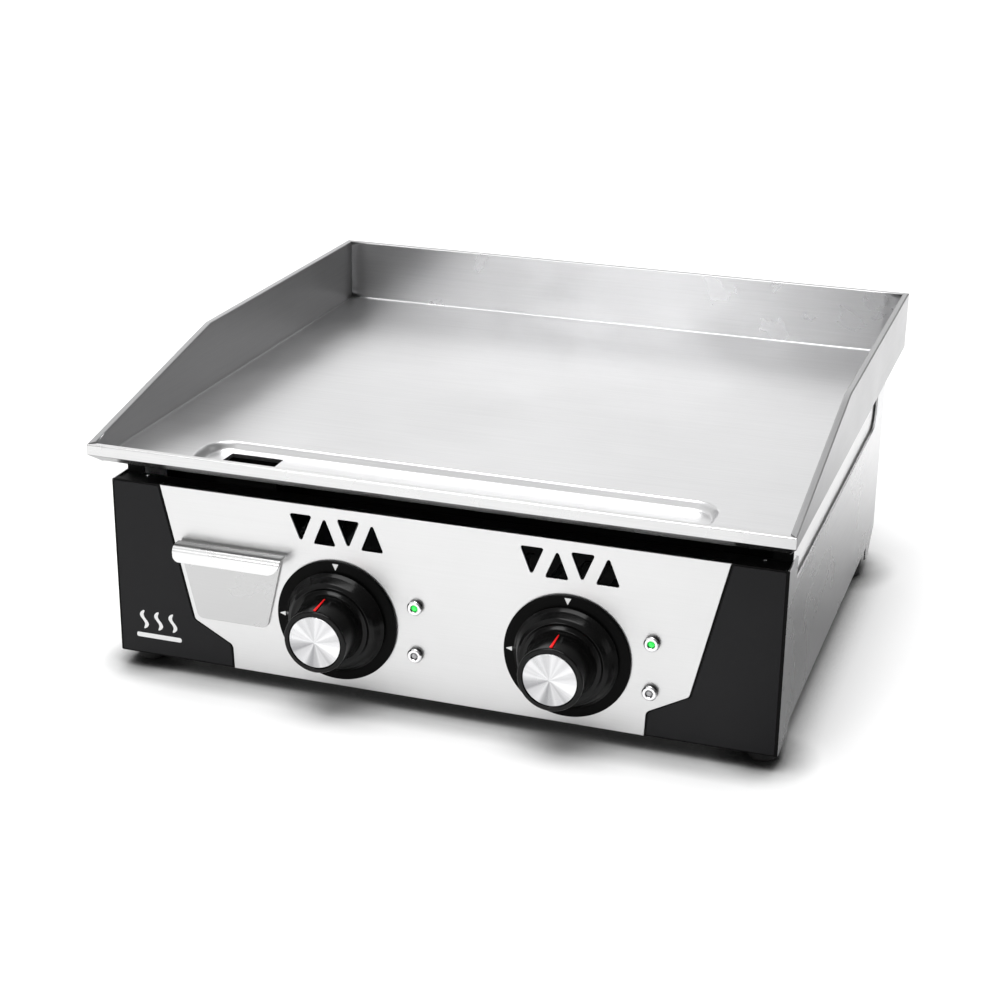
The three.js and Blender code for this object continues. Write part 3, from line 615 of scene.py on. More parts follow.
def floor_paint():
    """Matt pale paint with a painted contact shadow where the griddle stands close over it.

    Glossy rays alone see a painted shade beside the griddle's right side.
    """
    nodes, shader, place = start_material("floor")
    split = nodes.add("ShaderNodeSeparateXYZ", None, Vector=place)
    # Painted shade seen only in reflections, beside the right side and towards the front.
    beside = nodes.remap(split.outputs["X"], 0.0, 1.0, 0.20, 0.27)
    nearby = nodes.remap(split.outputs["Y"], 1.0, 0.0, 0.05, 0.50)
    ray = nodes.add("ShaderNodeLightPath").outputs["Is Glossy Ray"]
    painted_reflection_shade = nodes.math("MULTIPLY", nodes.math("MULTIPLY", beside, nearby), ray)
    paint = nodes.blend(painted_reflection_shade, (0.93, 0.93, 0.93, 1), (0.22, 0.22, 0.22, 1))
    # Painted contact shadow: ambient occlusion turns the floor nearly black under the body.
    near = nodes.add("ShaderNodeAmbientOcclusion", {"samples": 8}, Distance=0.03)
    painted_contact_shadow = nodes.remap(near.outputs["AO"], 0.99, 0.0, 0.50, 1.0)
    nodes.feed(shader, "Base Color", nodes.blend(painted_contact_shadow, paint, (0.02, 0.02, 0.02, 1)))
    shader.inputs["Roughness"].default_value = 0.85
    shader.inputs["Specular IOR Level"].default_value = 0.1


def build_materials():
    GROUPS["brushed_grain"] = brushed_group()
    GROUPS["handled"] = handled_group()
    GROUPS["fine_grain"] = grain_group()
    steel("plate_steel", (0.69, 0.69, 0.695), 0.32, "X", anisotropic=0.3, bump=0.06, spread=0.02)
    # The guards' steel is a darker copy of the plate's: painted shade on the guards.
    steel("guard_steel", (0.47, 0.47, 0.475), 0.34, "Y", bump=0.05, spread=0.03)
    steel("rear_guard_steel", (0.45, 0.45, 0.455), 0.30, "X", bump=0.05, spread=0.03)
    steel("lip_steel", (0.66, 0.66, 0.66), 0.28, "X", bump=0.04, spread=0.03)
    steel("fascia_steel", (0.69, 0.69, 0.69), 0.32, "X", bump=0.02, tone=0.02, spread=0.03)
    # A dark copy of the steel for the lip's underside and the fascia's top fold: painted shade.
    steel("steel_painted_shade", (0.22, 0.22, 0.22), 0.25, "X", bump=0.02, tone=0.02, spread=0.03)
    # Painted shade on the tray front: its plate behind the grip is darkened to 0.68, and the top of
    # its bend to 0.35 as a painted dark reflection.
    steel("tray_steel", (0.78, 0.78, 0.78), 0.28, "X", bump=0.02, tone=0.02, spread=0.03,
          shade=[("Y", TRAY_FACE_Y - 3 * MM, TRAY_FACE_Y - 0.5 * MM, 0.68),
                 ("Z", TRAY_TOP_Z - 1.6 * MM, TRAY_TOP_Z - 0.5 * MM, 0.35)])
    steel("side_steel", (0.70, 0.70, 0.705), 0.28, "Y", bump=0.04, spread=0.03)
    # Near white and hardly metallic: a painted highlight for the bright inner walls seen through
    # the side notches.
    steel("wall_steel", (0.93, 0.93, 0.93), 0.5, "Y", bump=0.04, spread=0.03, metallic=0.1)
    steel("zinc_sheet", (0.40, 0.41, 0.42), 0.5, "X", bump=0.12, grain_scale=120.0, tone=0.15)
    steel("shaft_steel", (0.55, 0.55, 0.55), 0.3, "Y")
    steel("bright_nickel", (0.86, 0.86, 0.87), 0.12, "Y", bump=0.01, spread=0.04, tone=0.02)
    # A black copy of the nickel: painted dark reflection on the sides of the lamp collars.
    steel("nickel_painted_dark", (0.05, 0.05, 0.05), 0.2, "Y", bump=0.01, spread=0.04, tone=0.02)
    steel("element_alloy", (0.16, 0.15, 0.14), 0.5, "Y", metallic=0.8, grain_scale=300.0)
    coated("black_panel", (0.007, 0.007, 0.008), 0.34, bump=0.05, specular=0.18)
    coated("black_frame", (0.003, 0.003, 0.003), 0.55, bump=0.10, specular=0.10)
    coated("gloss_black", (0.003, 0.003, 0.003), 0.20, coat=0.06, bump=0.01, specular=0.16)
    coated("dial_black", (0.002, 0.002, 0.002), 0.36, bump=0.04, specular=0.05)
    coated("gland_black", (0.012, 0.012, 0.012), 0.45, bump=0.2)
    coated("foot_rubber", (0.012, 0.012, 0.012), 0.7, bump=0.4, grain_scale=900.0)
    coated("pointer_red", (0.85, 0.012, 0.012), 0.35, specular=0.2)
    coated("print_white", (0.82, 0.82, 0.82), 0.5)
    coated("ceramic", (0.74, 0.70, 0.62), 0.6, bump=0.3, grain_scale=700.0)
    floor_paint()
    spun_metal("spun_aluminium", 260.0)
    lens_plastic("green_lens", (0.02, 0.62, 0.07), 0.9)
    lens_plastic("clear_lens", (0.42, 0.42, 0.43), 0.0)


build_materials()

# ------------------------------------------------------------------ cooking plate and rim
plate_low, plate_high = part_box("cooking_plate")
lip_low, lip_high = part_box("front_lip")
rear_low, rear_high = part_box("rear_guard")
guard_low, guard_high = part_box("right_guard")

COOK_Z = plate_high.z
RIM = guard_high.x - guard_low.x           # thickness of the guards and the lip
RIM_FACE_BOTTOM = COOK_Z + 4.6 * MM        # the outer faces turn under here
LIP_TURN = (9.6 * MM, 6.7 * MM)            # how far in and down the lip's underside slants
PLATE_UNDER = COOK_Z - 3 * MM
OUT_X = lip_high.x
FRONT_Y = lip_low.y
BACK_Y = rear_high.y
CHANNEL_X = 188 * MM
CHANNEL_Y = (FRONT_Y + 23.3 * MM, FRONT_Y + 75.3 * MM)
CHANNEL_DEPTH = 6 * MM
CHANNEL_WALL = 5 * MM                      # width of the slope from the plate to its floor
CHANNEL_CORNER = 20 * MM
DRAIN_X = (-170 * MM, -130 * MM)
DRAIN_Y = (FRONT_Y + 48.3 * MM, FRONT_Y + 65.3 * MM)
PRESSED_MARGIN = 2 * MM                    # closely spaced lines start this far outside it
PRESSED_END = 28 * MM                      # and cover its rounded right end
FINE_STEP, COARSE_STEP_X, COARSE_STEP_Y = 0.9 * MM, 6 * MM, 8 * MM


def graded(stops, fine, coarse):
    """Grid lines: the stretches marked fine get closely spaced lines, the others wide ones."""
    lines = []
    for (start, close), (end, _) in zip(stops[:-1], stops[1:]):
        step = fine if close else coarse
        count = max(1, int(math.ceil((end - start) / step)))
        lines.append(np.linspace(start, end, count, endpoint=False))
    return np.concatenate(lines + [[stops[-1][0]]])


def channel_depth(x, y):
    """Signed distance to a rounded rectangle, eased from nothing to full depth over the wall."""
    mid_y = (CHANNEL_Y[0] + CHANNEL_Y[1]) / 2
    half_y = (CHANNEL_Y[1] - CHANNEL_Y[0]) / 2
    px = np.abs(x) - (CHANNEL_X - CHANNEL_CORNER)
    py = np.abs(y - mid_y) - (half_y - CHANNEL_CORNER)
    outside = np.hypot(np.maximum(px, 0), np.maximum(py, 0)) - CHANNEL_CORNER
    distance = outside + np.minimum(np.maximum(px, py), 0)
    t = np.clip(-distance / CHANNEL_WALL, 0, 1)
    return CHANNEL_DEPTH * t * t * (3 - 2 * t)


def cooking_plate():
    """A pressed sheet: height = cooking level minus the channel's depth, with a drain cut out."""
    x0, x1 = plate_low.x, plate_high.x
    y0, y1 = plate_low.y, plate_high.y
    xs = graded([
        (x0, False), (-CHANNEL_X - PRESSED_MARGIN, True), (DRAIN_X[0], False),
        (DRAIN_X[1], False), (CHANNEL_X - PRESSED_END, True), (CHANNEL_X + PRESSED_MARGIN, False),
        (x1, False),
    ], FINE_STEP, COARSE_STEP_X)
    ys = graded([
        (y0, False), (CHANNEL_Y[0] - PRESSED_MARGIN, True), (DRAIN_Y[0], True),
        (DRAIN_Y[1], True), (CHANNEL_Y[1] + PRESSED_MARGIN, False), (y1, False),
    ], FINE_STEP, COARSE_STEP_Y)
    gx, gy = np.meshgrid(xs, ys, indexing="ij")
    gz = COOK_Z - channel_depth(gx, gy)
    points = np.stack([gx, gy, gz], -1).reshape(-1, 3)
    rows, columns = gx.shape
    quads = np.array(grid_faces(rows, columns))[:, ::-1]
    middle = points[quads].mean(1)
    in_drain = (
        (middle[:, 0] > DRAIN_X[0]) & (middle[:, 0] < DRAIN_X[1])
        & (middle[:, 1] > DRAIN_Y[0]) & (middle[:, 1] < DRAIN_Y[1])
    )
    item = mesh_object("cooking_plate_sheet", points, quads[~in_drain], smooth=True)
    wall = item.modifiers.new("thickness", "SOLIDIFY")
    wall.thickness = COOK_Z - PLATE_UNDER
    wall.offset = -1
    soften(item, 0.5 * MM, 3)
    piece(item, HOUSING, "plate_steel", "plate_steel", "cooking_plate")


FOOT_FILLET = 0.8 * MM     # where a guard meets the cooking surface
EDGE_ROUND = 1.1 * MM      # along the top edges of the guards and the lip


def rim_section(reach, rise, depth, drop):
    """Points (d, z, follows_top): d inwards from the outer face; the top points ride the top line.

    Inside, the foot slopes from reach in at the cooking surface up to rise at the bar; outside,
    the underside slants in by depth and down by drop.
    """
    low = rounded([
        (reach, COOK_Z - 0.4 * MM), (reach, COOK_Z, 0.3 * MM), (RIM, COOK_Z + rise, 2.5 * MM),
        (RIM, COOK_Z + rise + 3 * MM),
    ], closed=False, steps=6)
    top = rounded([
        (RIM, -4 * MM), (RIM, 0, EDGE_ROUND), (0, 0, EDGE_ROUND), (0, -4 * MM),
    ], closed=False, steps=6)
    under = rounded([
        (0, RIM_FACE_BOTTOM + 3 * MM), (0, RIM_FACE_BOTTOM, 0.8 * MM),
        (depth, RIM_FACE_BOTTOM - drop, 0.3 * MM), (reach, RIM_FACE_BOTTOM - drop),
    ], closed=False, steps=4)
    rows = [(d, z, 0.0) for d, z in low] + [(d, z, 1.0) for d, z in top]
    rows += [(d, z, 0.0) for d, z in under]
    return np.array(rows)


def rim_bar(name, section, stops, top_line, place, node, material, cut=False):
    """A bar swept along one edge of the plate with both ends mitred at 45 degrees.

    A section point d inwards starts and ends d short of the outer corners, up to the bars'
    thickness, and the top points follow top_line, the height along the edge. With a cut, the
    start is also trimmed along the slant of the lip's underside.
    """
    start, end = stops[0], stops[-1]
    inner = np.array(stops[1:-1])
    runs = []
    for d, z, follows_top in section:
        inset = min(d, RIM) + 0.12 * MM
        below = 0 if follows_top or not cut else max(0, RIM_FACE_BOTTOM - z)
        trim = max(inset, below * LIP_TURN[0] / LIP_TURN[1] + 0.3 * MM)
        runs.append(np.concatenate([[start + trim], inner, [end - inset]]))
    along = np.array(runs)
    depth = np.repeat(section[:, :1], along.shape[1], 1)
    height = section[:, 1:2] + section[:, 2:3] * top_line(along)
    points = place(along, depth, height)
    rows, columns = along.shape
    faces = grid_faces(rows, columns, wrap_rows=True)
    faces.append(tuple(range(0, rows * columns, columns)))
    faces.append(tuple(range(columns - 1, rows * columns, columns)))
    item = mesh_object(name, points.reshape(-1, 3), faces, smooth=True)
    outward(item)
    weigh_normals(item)
    piece(item, HOUSING, "plate_steel", material, node)
    return item


def spread_stops(start, end, kinks=(), step=20 * MM):
    """Stations from start to end about a step apart, with every kink exactly on one."""
    marks = [start, *kinks, end]
    parts = [
        np.linspace(a, b, max(2, int((b - a) / step)), endpoint=False)
        for a, b in zip(marks[:-1], marks[1:])
    ]
    return np.concatenate(parts + [[end]]).tolist()


def rims():
    """The lip and the three guards, mitred where they meet."""
    lip_top, guard_top = lip_high.z, guard_high.z
    kink = FRONT_Y + 187.3 * MM
    rise = (guard_top - lip_top) / (kink - FRONT_Y)
    lip_section = rim_section(12.3 * MM, 5.2 * MM, *LIP_TURN)
    guard_section = rim_section(RIM + FOOT_FILLET, FOOT_FILLET, RIM, RIM_FACE_BOTTOM - PLATE_UNDER)

    def guard_line(y):
        return np.minimum(guard_top, lip_top + rise * (y - FRONT_Y))

    def flat_line(height):
        return lambda along: np.full_like(along, height)

    lip = rim_bar(
        "front_lip_bar", lip_section, spread_stops(-OUT_X, OUT_X),
        flat_line(lip_top), lambda a, d, z: np.stack([a, FRONT_Y + d, z], -1),
        "front_lip", "lip_steel",
    )
    # Faces turned downwards take the dark copy of the steel: painted shade on the lip's underside.
    second_material(lip, "steel_painted_shade", lambda n: n[:, 2] < -0.3)
    rim_bar(
        "rear_guard_bar", guard_section, spread_stops(-OUT_X, OUT_X),
        flat_line(guard_top), lambda a, d, z: np.stack([a, BACK_Y - d, z], -1),
        "rear_guard", "rear_guard_steel",
    )
    for name, side in SIDES:
        rim_bar(
            f"{name}_guard_bar", guard_section,
            spread_stops(FRONT_Y, BACK_Y, (kink,)), guard_line,
            lambda a, d, z, side=side: np.stack([side * (OUT_X - d), a, z], -1),
            f"{name}_guard", "guard_steel", cut=True,
        )


cooking_plate()
rims()

# ------------------------------------------------------------------ fascia
fascia_low, fascia_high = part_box("front_fascia")
panel_low, panel_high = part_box("right_end_panel")
EDGE = 0.3 * MM            # rounding of a cut sheet edge
BODY_X = panel_high.x
FASCIA_Z = (fascia_low.z, fascia_high.z)
FASCIA_BACK = fascia_low.y + 1.5 * MM
VENT_RISE = 116.1 * MM     # from the sheet's lower edge to the middle of the vents
VENT_PITCH = 17.7 * MM
KNOBS = {
    name: ((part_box(f"{name}_dial")[0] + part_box(f"{name}_dial")[1]) / 2) for name, _ in SIDES
}


def split_line(offset):
    """The slanted joint between the steel and a black panel, as corners from top to bottom."""
    half = fascia_high.x + offset
    low, high = FASCIA_Z
    return [
        (half, high), (half - 23.3 * MM, low + 34 * MM, 4 * MM),
        (half - 52.5 * MM, low + 18 * MM, 5 * MM), (half - 53.2 * MM, low),
    ]


def circle(x, z, radius, count=48):
    angle = np.linspace(0, 2 * math.pi, count, endpoint=False)
    return np.stack([x + radius * np.cos(angle), z + radius * np.sin(angle)], 1)


def vent(x, z, up):
    """A rounded triangle, its point up or down."""
    half, tall, r = 8.3 * MM, 20.6 * MM * (1 if up else -1), 1.2 * MM
    corners = [(x - half, z - tall / 2, r), (x + half, z - tall / 2, r), (x, z + tall / 2, r)]
    return rounded(corners)


def tray_opening():
    low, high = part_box("drip_tray_box")
    mid = (low.x + high.x) / 2
    top, bottom = (high.x - low.x) / 2 + 2 * MM, (high.x - low.x) / 2 - 8.5 * MM
    z0, z1 = low.z - 2 * MM, high.z + 2 * MM
    return rounded([
        (mid - bottom, z0, MM), (mid + bottom, z0, MM), (mid + top, z1, MM), (mid - top, z1, MM),
    ])


def fascia():
    right = split_line(0)
    left = [(-c[0], *c[1:]) for c in reversed(right)]
    holes = [tray_opening()]
    vent_z = FASCIA_Z[0] + VENT_RISE
    for centre in KNOBS.values():
        holes.append(circle(centre.x, centre.z, 5 * MM))
        for i in range(4):
            holes.append(vent(centre.x + (i - 1.5) * VENT_PITCH, vent_z, i % 2 == 1))
    for name, _ in SIDES:
        for lamp in ("heat", "mains"):
            low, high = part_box(f"{name}_{lamp}_lamp_bezel")
            holes.append(circle((low.x + high.x) / 2, (low.z + high.z) / 2, 4.5 * MM, 32))
    y0, y1 = fascia_low.y, FASCIA_BACK
    steel_sheet = flat_sheet("fascia_sheet", [rounded(left + right), *holes], "XZ", y0, y1, EDGE)
    piece(steel_sheet, HOUSING, "fascia_steel", "fascia_steel", "front_fascia")
    fold = top_fold("fascia_fold", -fascia_high.x, fascia_high.x)
    # The top fold sits in the gap under the lip and takes the dark copy of the steel: painted
    # shade.
    piece(fold, HOUSING, "fascia_steel", "steel_painted_shade")
    for name, side in SIDES:
        end_panel(name, side)


def top_fold(name, x0, x1):
    """The narrow strip that a front sheet's top edge folds back into."""
    y0, y1 = FASCIA_BACK - 0.2 * MM, fascia_low.y + 6 * MM
    loop = np.array([(x0, y0), (x1, y0), (x1, y1), (x0, y1)])
    return flat_sheet(name, [loop], "XY", FASCIA_Z[1] - 1.5 * MM, FASCIA_Z[1] - 0.02 * MM, 0.2 * MM)


def end_panel(name, side):
    """A black panel: a lacquered face on a slightly larger matt backing, and its top fold."""
    front, back = fascia_low.y, FASCIA_BACK
    step = 0.45 * MM       # how far the backing lies behind the face
    # The matt backing round the face is the panel's real stepped edge; its dark rim, widest along
    # the body's edge, is painted shade for the shadowed fold there.
    rim = 1.2 * MM         # how much of the backing shows round the face
    outer_rim = 1.7        # it shows this many times as much along the body's edge

    def panel_loop(inset):
        corners = [(c[0] + inset, *c[1:]) for c in split_line(0.4 * MM)]
        corners[0] = (corners[0][0], FASCIA_Z[1] - inset, 0)
        corners[-1] = (corners[-1][0], FASCIA_Z[0] + inset, 0)
        corners += [
            (BODY_X - outer_rim * inset, FASCIA_Z[0] + inset, 1.2 * MM),
            (BODY_X - outer_rim * inset, FASCIA_Z[1] - inset, 1.2 * MM),
        ]
        return rounded([(side * c[0], *c[1:]) for c in corners])

    backing = flat_sheet(f"{name}_panel_backing", [panel_loop(0)], "XZ", front + step, back, EDGE)
    piece(backing, HOUSING, "black_panel", "black_frame", f"{name}_end_panel")
    face = flat_sheet(
        f"{name}_panel_face", [panel_loop(rim)], "XZ", front, front + step + 0.1 * MM, 0.2 * MM,
    )
    piece(face, HOUSING, "black_panel", "black_panel")
    ends = sorted((side * (fascia_high.x + 0.4 * MM), side * (BODY_X - 1.8 * MM)))
    piece(top_fold(f"{name}_panel_fold", *ends), HOUSING, "black_panel", "black_frame")


# ------------------------------------------------------------------ body sheets
def side_panels():
    """Side panel outline: front foot, long arch, rear foot, ventilation notch along the top."""
    low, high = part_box("right_side_panel")
    start, end, bottom, top = low.y, high.y, low.z - 2 * MM, high.z
    front = fascia_low.y
    arch = bottom + 14 * MM
    notch = FASCIA_Z[1] - 17.4 * MM

    def at(y_mm, z):
        return (front + y_mm * MM, z)

    corners = [
        (start, FASCIA_Z[0], 0.5 * MM), (*at(20, FASCIA_Z[0]), MM), (*at(20.5, arch - 8 * MM), MM),
        (*at(35, arch - 8 * MM), 2 * MM), (*at(37, arch - 2 * MM), 3 * MM),
        (*at(44, arch), 6 * MM), (*at(364, arch), 3 * MM), (*at(365.5, low.z), 0.5 * MM),
        (*at(374, low.z), MM), (end, low.z + 18 * MM, 2 * MM), (end, top, MM),
        (*at(362, top), MM), (*at(361, notch), 24 * MM), (*at(30, notch), 1.2 * MM),
        (*at(30, FASCIA_Z[1]), MM), (start, FASCIA_Z[1], 0.5 * MM),
    ]
    loop = rounded(corners)
    for name, _ in SIDES:
        low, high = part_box(f"{name}_side_panel")
        sheet = flat_sheet(f"{name}_side_sheet", [loop], "YZ", low.x, high.x, EDGE)
        piece(sheet, HOUSING, "body_steel", "side_steel", f"{name}_side_panel")


def steam_mark():
    """A printed sign on the left panel: three wisps of steam over a hot plate."""
    x0, z0 = -230 * MM, 25 * MM
    face = fascia_low.y
    bar = [(x0, z0), (x0 + 36 * MM, z0), (x0 + 36 * MM, z0 + 3.6 * MM), (x0, z0 + 3.6 * MM)]
    loops = [rounded([(*corner, 1.4 * MM) for corner in bar])]
    t = np.linspace(0, 1, 28)
    height = z0 + (7.0 + 14.5 * t) * MM
    for i in range(3):
        middle = x0 + (6.5 + 11.5 * i) * MM + 1.9 * MM * np.sin(2 * math.pi * t)
        half = 1.5 * MM * np.sqrt(np.clip(1 - (2 * t - 1) ** 6, 0.02, 1))
        left = np.stack([middle - half, height], 1)
        right = np.stack([middle + half, height], 1)
        loops.append(np.concatenate([left, right[::-1]]))
    mark = flat_sheet("steam_mark", loops, "XZ", face - 0.05 * MM, face + 0.1 * MM, 0.02 * MM)
    piece(mark, HOUSING, "black_panel", "print_white")


def rear_panel():
    """The back sheet: a row of upright slots, a hole for the gland and four for screws."""
    low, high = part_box("rear_panel")
    gland_low, gland_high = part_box("cable_gland")
    outer = rounded([
        (low.x, low.z, MM), (high.x, low.z, MM), (high.x, high.z, MM), (low.x, high.z, MM),
    ])
    holes = []
    for i in range(12):
        x = (i - 5.5) * 16 * MM
        corners = ((x - 3 * MM, 85), (x + 3 * MM, 85), (x + 3 * MM, 140), (x - 3 * MM, 140))
        holes.append(rounded([(a, z * MM, 2.6 * MM) for a, z in corners]))
    holes.append(circle(
        (gland_low.x + gland_high.x) / 2, (gland_low.z + gland_high.z) / 2, 9 * MM,
    ))
    for i in range(1, 5):
        a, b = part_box(f"rear_screw_{i}")
        holes.append(circle((a.x + b.x) / 2, (a.z + b.z) / 2, 2.2 * MM, 24))
    sheet = flat_sheet("rear_sheet", [outer, *holes], "XZ", low.y, high.y, EDGE)
    piece(sheet, HOUSING, "body_steel", "side_steel", "rear_panel")


fascia()
steam_mark()
side_panels()
rear_panel()


# ------------------------------------------------------------------ knobs and dials
def knob_profile(name):
    """Skirt, shoulder groove, tapered grip and the rim round the cap's seat, as (radius, y)."""
    low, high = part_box(f"{name}_knob")
    cap_low, cap_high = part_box(f"{name}_knob_cap")
    skirt = (high.x - low.x) / 2
    cap = (cap_high.x - cap_low.x) / 2
    back, front = high.y, low.y
    seat = cap_high.y + 0.3 * MM

    def off(mm):
        return back - mm * MM

    return rounded([
        (0, back - 20 * MM), (3.3 * MM, back - 20 * MM), (3.3 * MM, back, 0.3 * MM),
        (skirt, back, 0.4 * MM), (skirt, off(2.2), 1.2 * MM), (skirt - 2.0 * MM, off(4.6), 2 * MM),
        (skirt - 5.2 * MM, off(9.4), 5 * MM), (skirt - 7.6 * MM, off(11.3), 1.2 * MM),
        (skirt - 9.6 * MM, off(10.8), 0.6 * MM), (skirt - 12.2 * MM, off(11.8), MM),
        (skirt - 12.9 * MM, off(14.1), 2 * MM), (cap + 4.1 * MM, front + 2.8 * MM, 3 * MM),
        (cap + 3.9 * MM, front, 1.1 * MM), (cap + 0.7 * MM, front, 0.5 * MM),
        (cap + 0.4 * MM, front + 1.2 * MM), (cap + 0.4 * MM, seat), (0, seat),
    ], closed=False, steps=6)


def knob_cap(name):
    """A shallow turned disc with a rounded edge; its UV runs round and outwards."""
    low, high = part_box(f"{name}_knob_cap")
    radius = (high.x - low.x) / 2
    centre = (KNOBS[name].x, 0, KNOBS[name].z)
    radii = np.linspace(0, radius - 0.9 * MM, 14)
    face = [(r, low.y + 0.25 * MM * (r / radius) ** 2) for r in radii]
    edge = rounded([
        (face[-1][0], face[-1][1]), (radius, low.y + 0.3 * MM, 0.5 * MM), (radius, high.y),
    ], closed=False, steps=5)
    profile = np.array(face[:-1] + [tuple(p) for p in edge] + [(0, high.y)])
    item = turned(f"{name}_cap_disc", profile, centre)
    radial_uv(item, centre)
    piece(item, f"{name}_control", "spun_aluminium", "spun_aluminium", f"{name}_knob_cap")


def radial_uv(item, centre):
    """UV map "turning": u is the angle round the centre in turns, v the radius in cm."""
    mesh = item.data
    layer = mesh.uv_layers.new(name="turning")
    index = np.zeros(len(mesh.loops), int)
    mesh.loops.foreach_get("vertex_index", index)
    co = np.zeros(len(mesh.vertices) * 3)
    mesh.vertices.foreach_get("co", co)
    co = co.reshape(-1, 3)[index] - np.array(centre)
    starts = np.zeros(len(mesh.polygons), int)
    totals = np.zeros(len(mesh.polygons), int)
    mesh.polygons.foreach_get("loop_start", starts)
    mesh.polygons.foreach_get("loop_total", totals)
    face = np.repeat(np.arange(len(starts)), totals)
    u = np.arctan2(co[:, 2], co[:, 0]) / (2 * math.pi)
    first = u[starts][face]
    at_pole = np.hypot(co[:, 0], co[:, 2]) < 1e-7
    u = u - np.round(u - first)
    u = np.where(at_pole, first, u)
    v = np.hypot(co[:, 0], co[:, 2]) * 100
    layer.data.foreach_set("uv", np.stack([u, v], 1).ravel())


def pointer(name):
    """A low rounded rib that lies along the knob's crown and narrows towards the back."""
    low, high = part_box(f"{name}_knob_pointer")
    mid = (low.x + high.x) / 2
    t = np.linspace(0, 1, 24)[:, None]
    angle = np.linspace(0, 2 * math.pi, 20, endpoint=False)[None, :]
    half = (high.x - low.x) / 2 * 0.75 * (1 - 0.55 * t)
    tall = 0.45 * MM * (1 - 0.2 * t)
    foot = low.z + (high.z - low.z - 0.9 * MM) * t
    squared = np.sign(np.cos(angle)) * np.abs(np.cos(angle)) ** 0.6
    y = low.y + (high.y - low.y) * t + 0 * angle
    points = np.stack([mid + half * squared, y, foot + tall + tall * np.sin(angle)], -1)
    faces = grid_faces(24, 20, wrap_columns=True)
    faces.append(tuple(range(20)))
    faces.append(tuple(range(23 * 20, 24 * 20)))
    item = mesh_object(f"{name}_pointer_rib", points.reshape(-1, 3), faces)
    outward(item)
    crease(item, 50)
    piece(item, f"{name}_control", "pointer_red", "pointer_red", f"{name}_knob_pointer")


def dial(name):
    """A thin disc with a rounded rim and two printed marks: start at the top, full at the left."""
    low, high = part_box(f"{name}_dial")
    radius = (high.x - low.x) / 2
    centre = KNOBS[name]
    profile = rounded([
        (4 * MM, high.y), (radius, high.y, 0.2 * MM), (radius, low.y, 0.8 * MM), (4 * MM, low.y),
    ], steps=5)
    disc = turned(f"{name}_dial_disc", profile, (centre.x, 0, centre.z), segments=128)
    crease(disc)
    piece(disc, HOUSING, "black_plastic", "dial_black", f"{name}_dial")
    face = low.y
    marks = {
        "start": [(-2.4, 43.2), (2.4, 43.2), (0, 38.2)],
        "full": [(-43.2, 0), (-38.6, 1.7), (-38.6, -1.7)],
    }
    for mark, corners in marks.items():
        loop = [(centre.x + x * MM, centre.z + z * MM, 0.25 * MM) for x, z in corners]
        printed = flat_sheet(
            f"{name}_{mark}_mark", [rounded(loop)], "XZ", face - 0.06 * MM, face + 0.1 * MM,
            0.02 * MM,
        )
        piece(printed, HOUSING, "black_plastic", "print_white")


def knobs():
    for name, _ in SIDES:
        centre = (KNOBS[name].x, 0, KNOBS[name].z)
        item = turned(f"{name}_knob_grip", knob_profile(name), centre, segments=128)
        crease(item, 50)
        piece(item, f"{name}_control", "black_plastic", "gloss_black", f"{name}_knob")
        knob_cap(name)
        pointer(name)
        dial(name)


# ------------------------------------------------------------------ lamps
def lamps():
    """Each lamp: a turned collar with a domed lens in it."""
    for name, _ in SIDES:
        for lamp, slot in (("heat", "green_lens"), ("mains", "clear_lens")):
            low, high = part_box(f"{name}_{lamp}_lamp_bezel")
            r = (high.x - low.x) / 2
            centre = ((low.x + high.x) / 2, 0, (low.z + high.z) / 2)
            front, back = low.y, high.y
            collar = rounded([
                (2.5 * MM, front + 0.5 * MM, 0.2 * MM), (2.9 * MM, front, 0.2 * MM),
                (4.5 * MM, front, 0.4 * MM), (r, front + 0.9 * MM, 0.4 * MM),
                (r, fascia_low.y - 0.3 * MM), (4.2 * MM, fascia_low.y - 0.3 * MM),
                (4.2 * MM, back), (2.5 * MM, back),
            ], steps=5)
            item = turned(f"{name}_{lamp}_collar", collar, centre, segments=64)
            crease(item)
            piece(item, HOUSING, "bright_trim", "bright_nickel", f"{name}_{lamp}_lamp_bezel")
            # Faces across the axis, the collar's sides, get the black copy: a painted dark
            # reflection.
            second_material(item, "nickel_painted_dark", lambda n: np.abs(n[:, 1]) < 0.6)
            lens_low, lens_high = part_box(f"{name}_{lamp}_lamp_lens")
            lr = (lens_high.x - lens_low.x) / 2
            a = np.linspace(0, math.pi / 2, 10)
            dome = [(lr * math.sin(t), lens_low.y + 1.4 * MM * (1 - math.cos(t))) for t in a]
            profile = np.array(dome + [(lr, lens_high.y), (0, lens_high.y)])
            item = turned(f"{name}_{lamp}_lens_dome", profile, centre, segments=48)
            crease(item, 50)
            piece(item, HOUSING, slot, slot, f"{name}_{lamp}_lamp_lens")


knobs()
lamps()


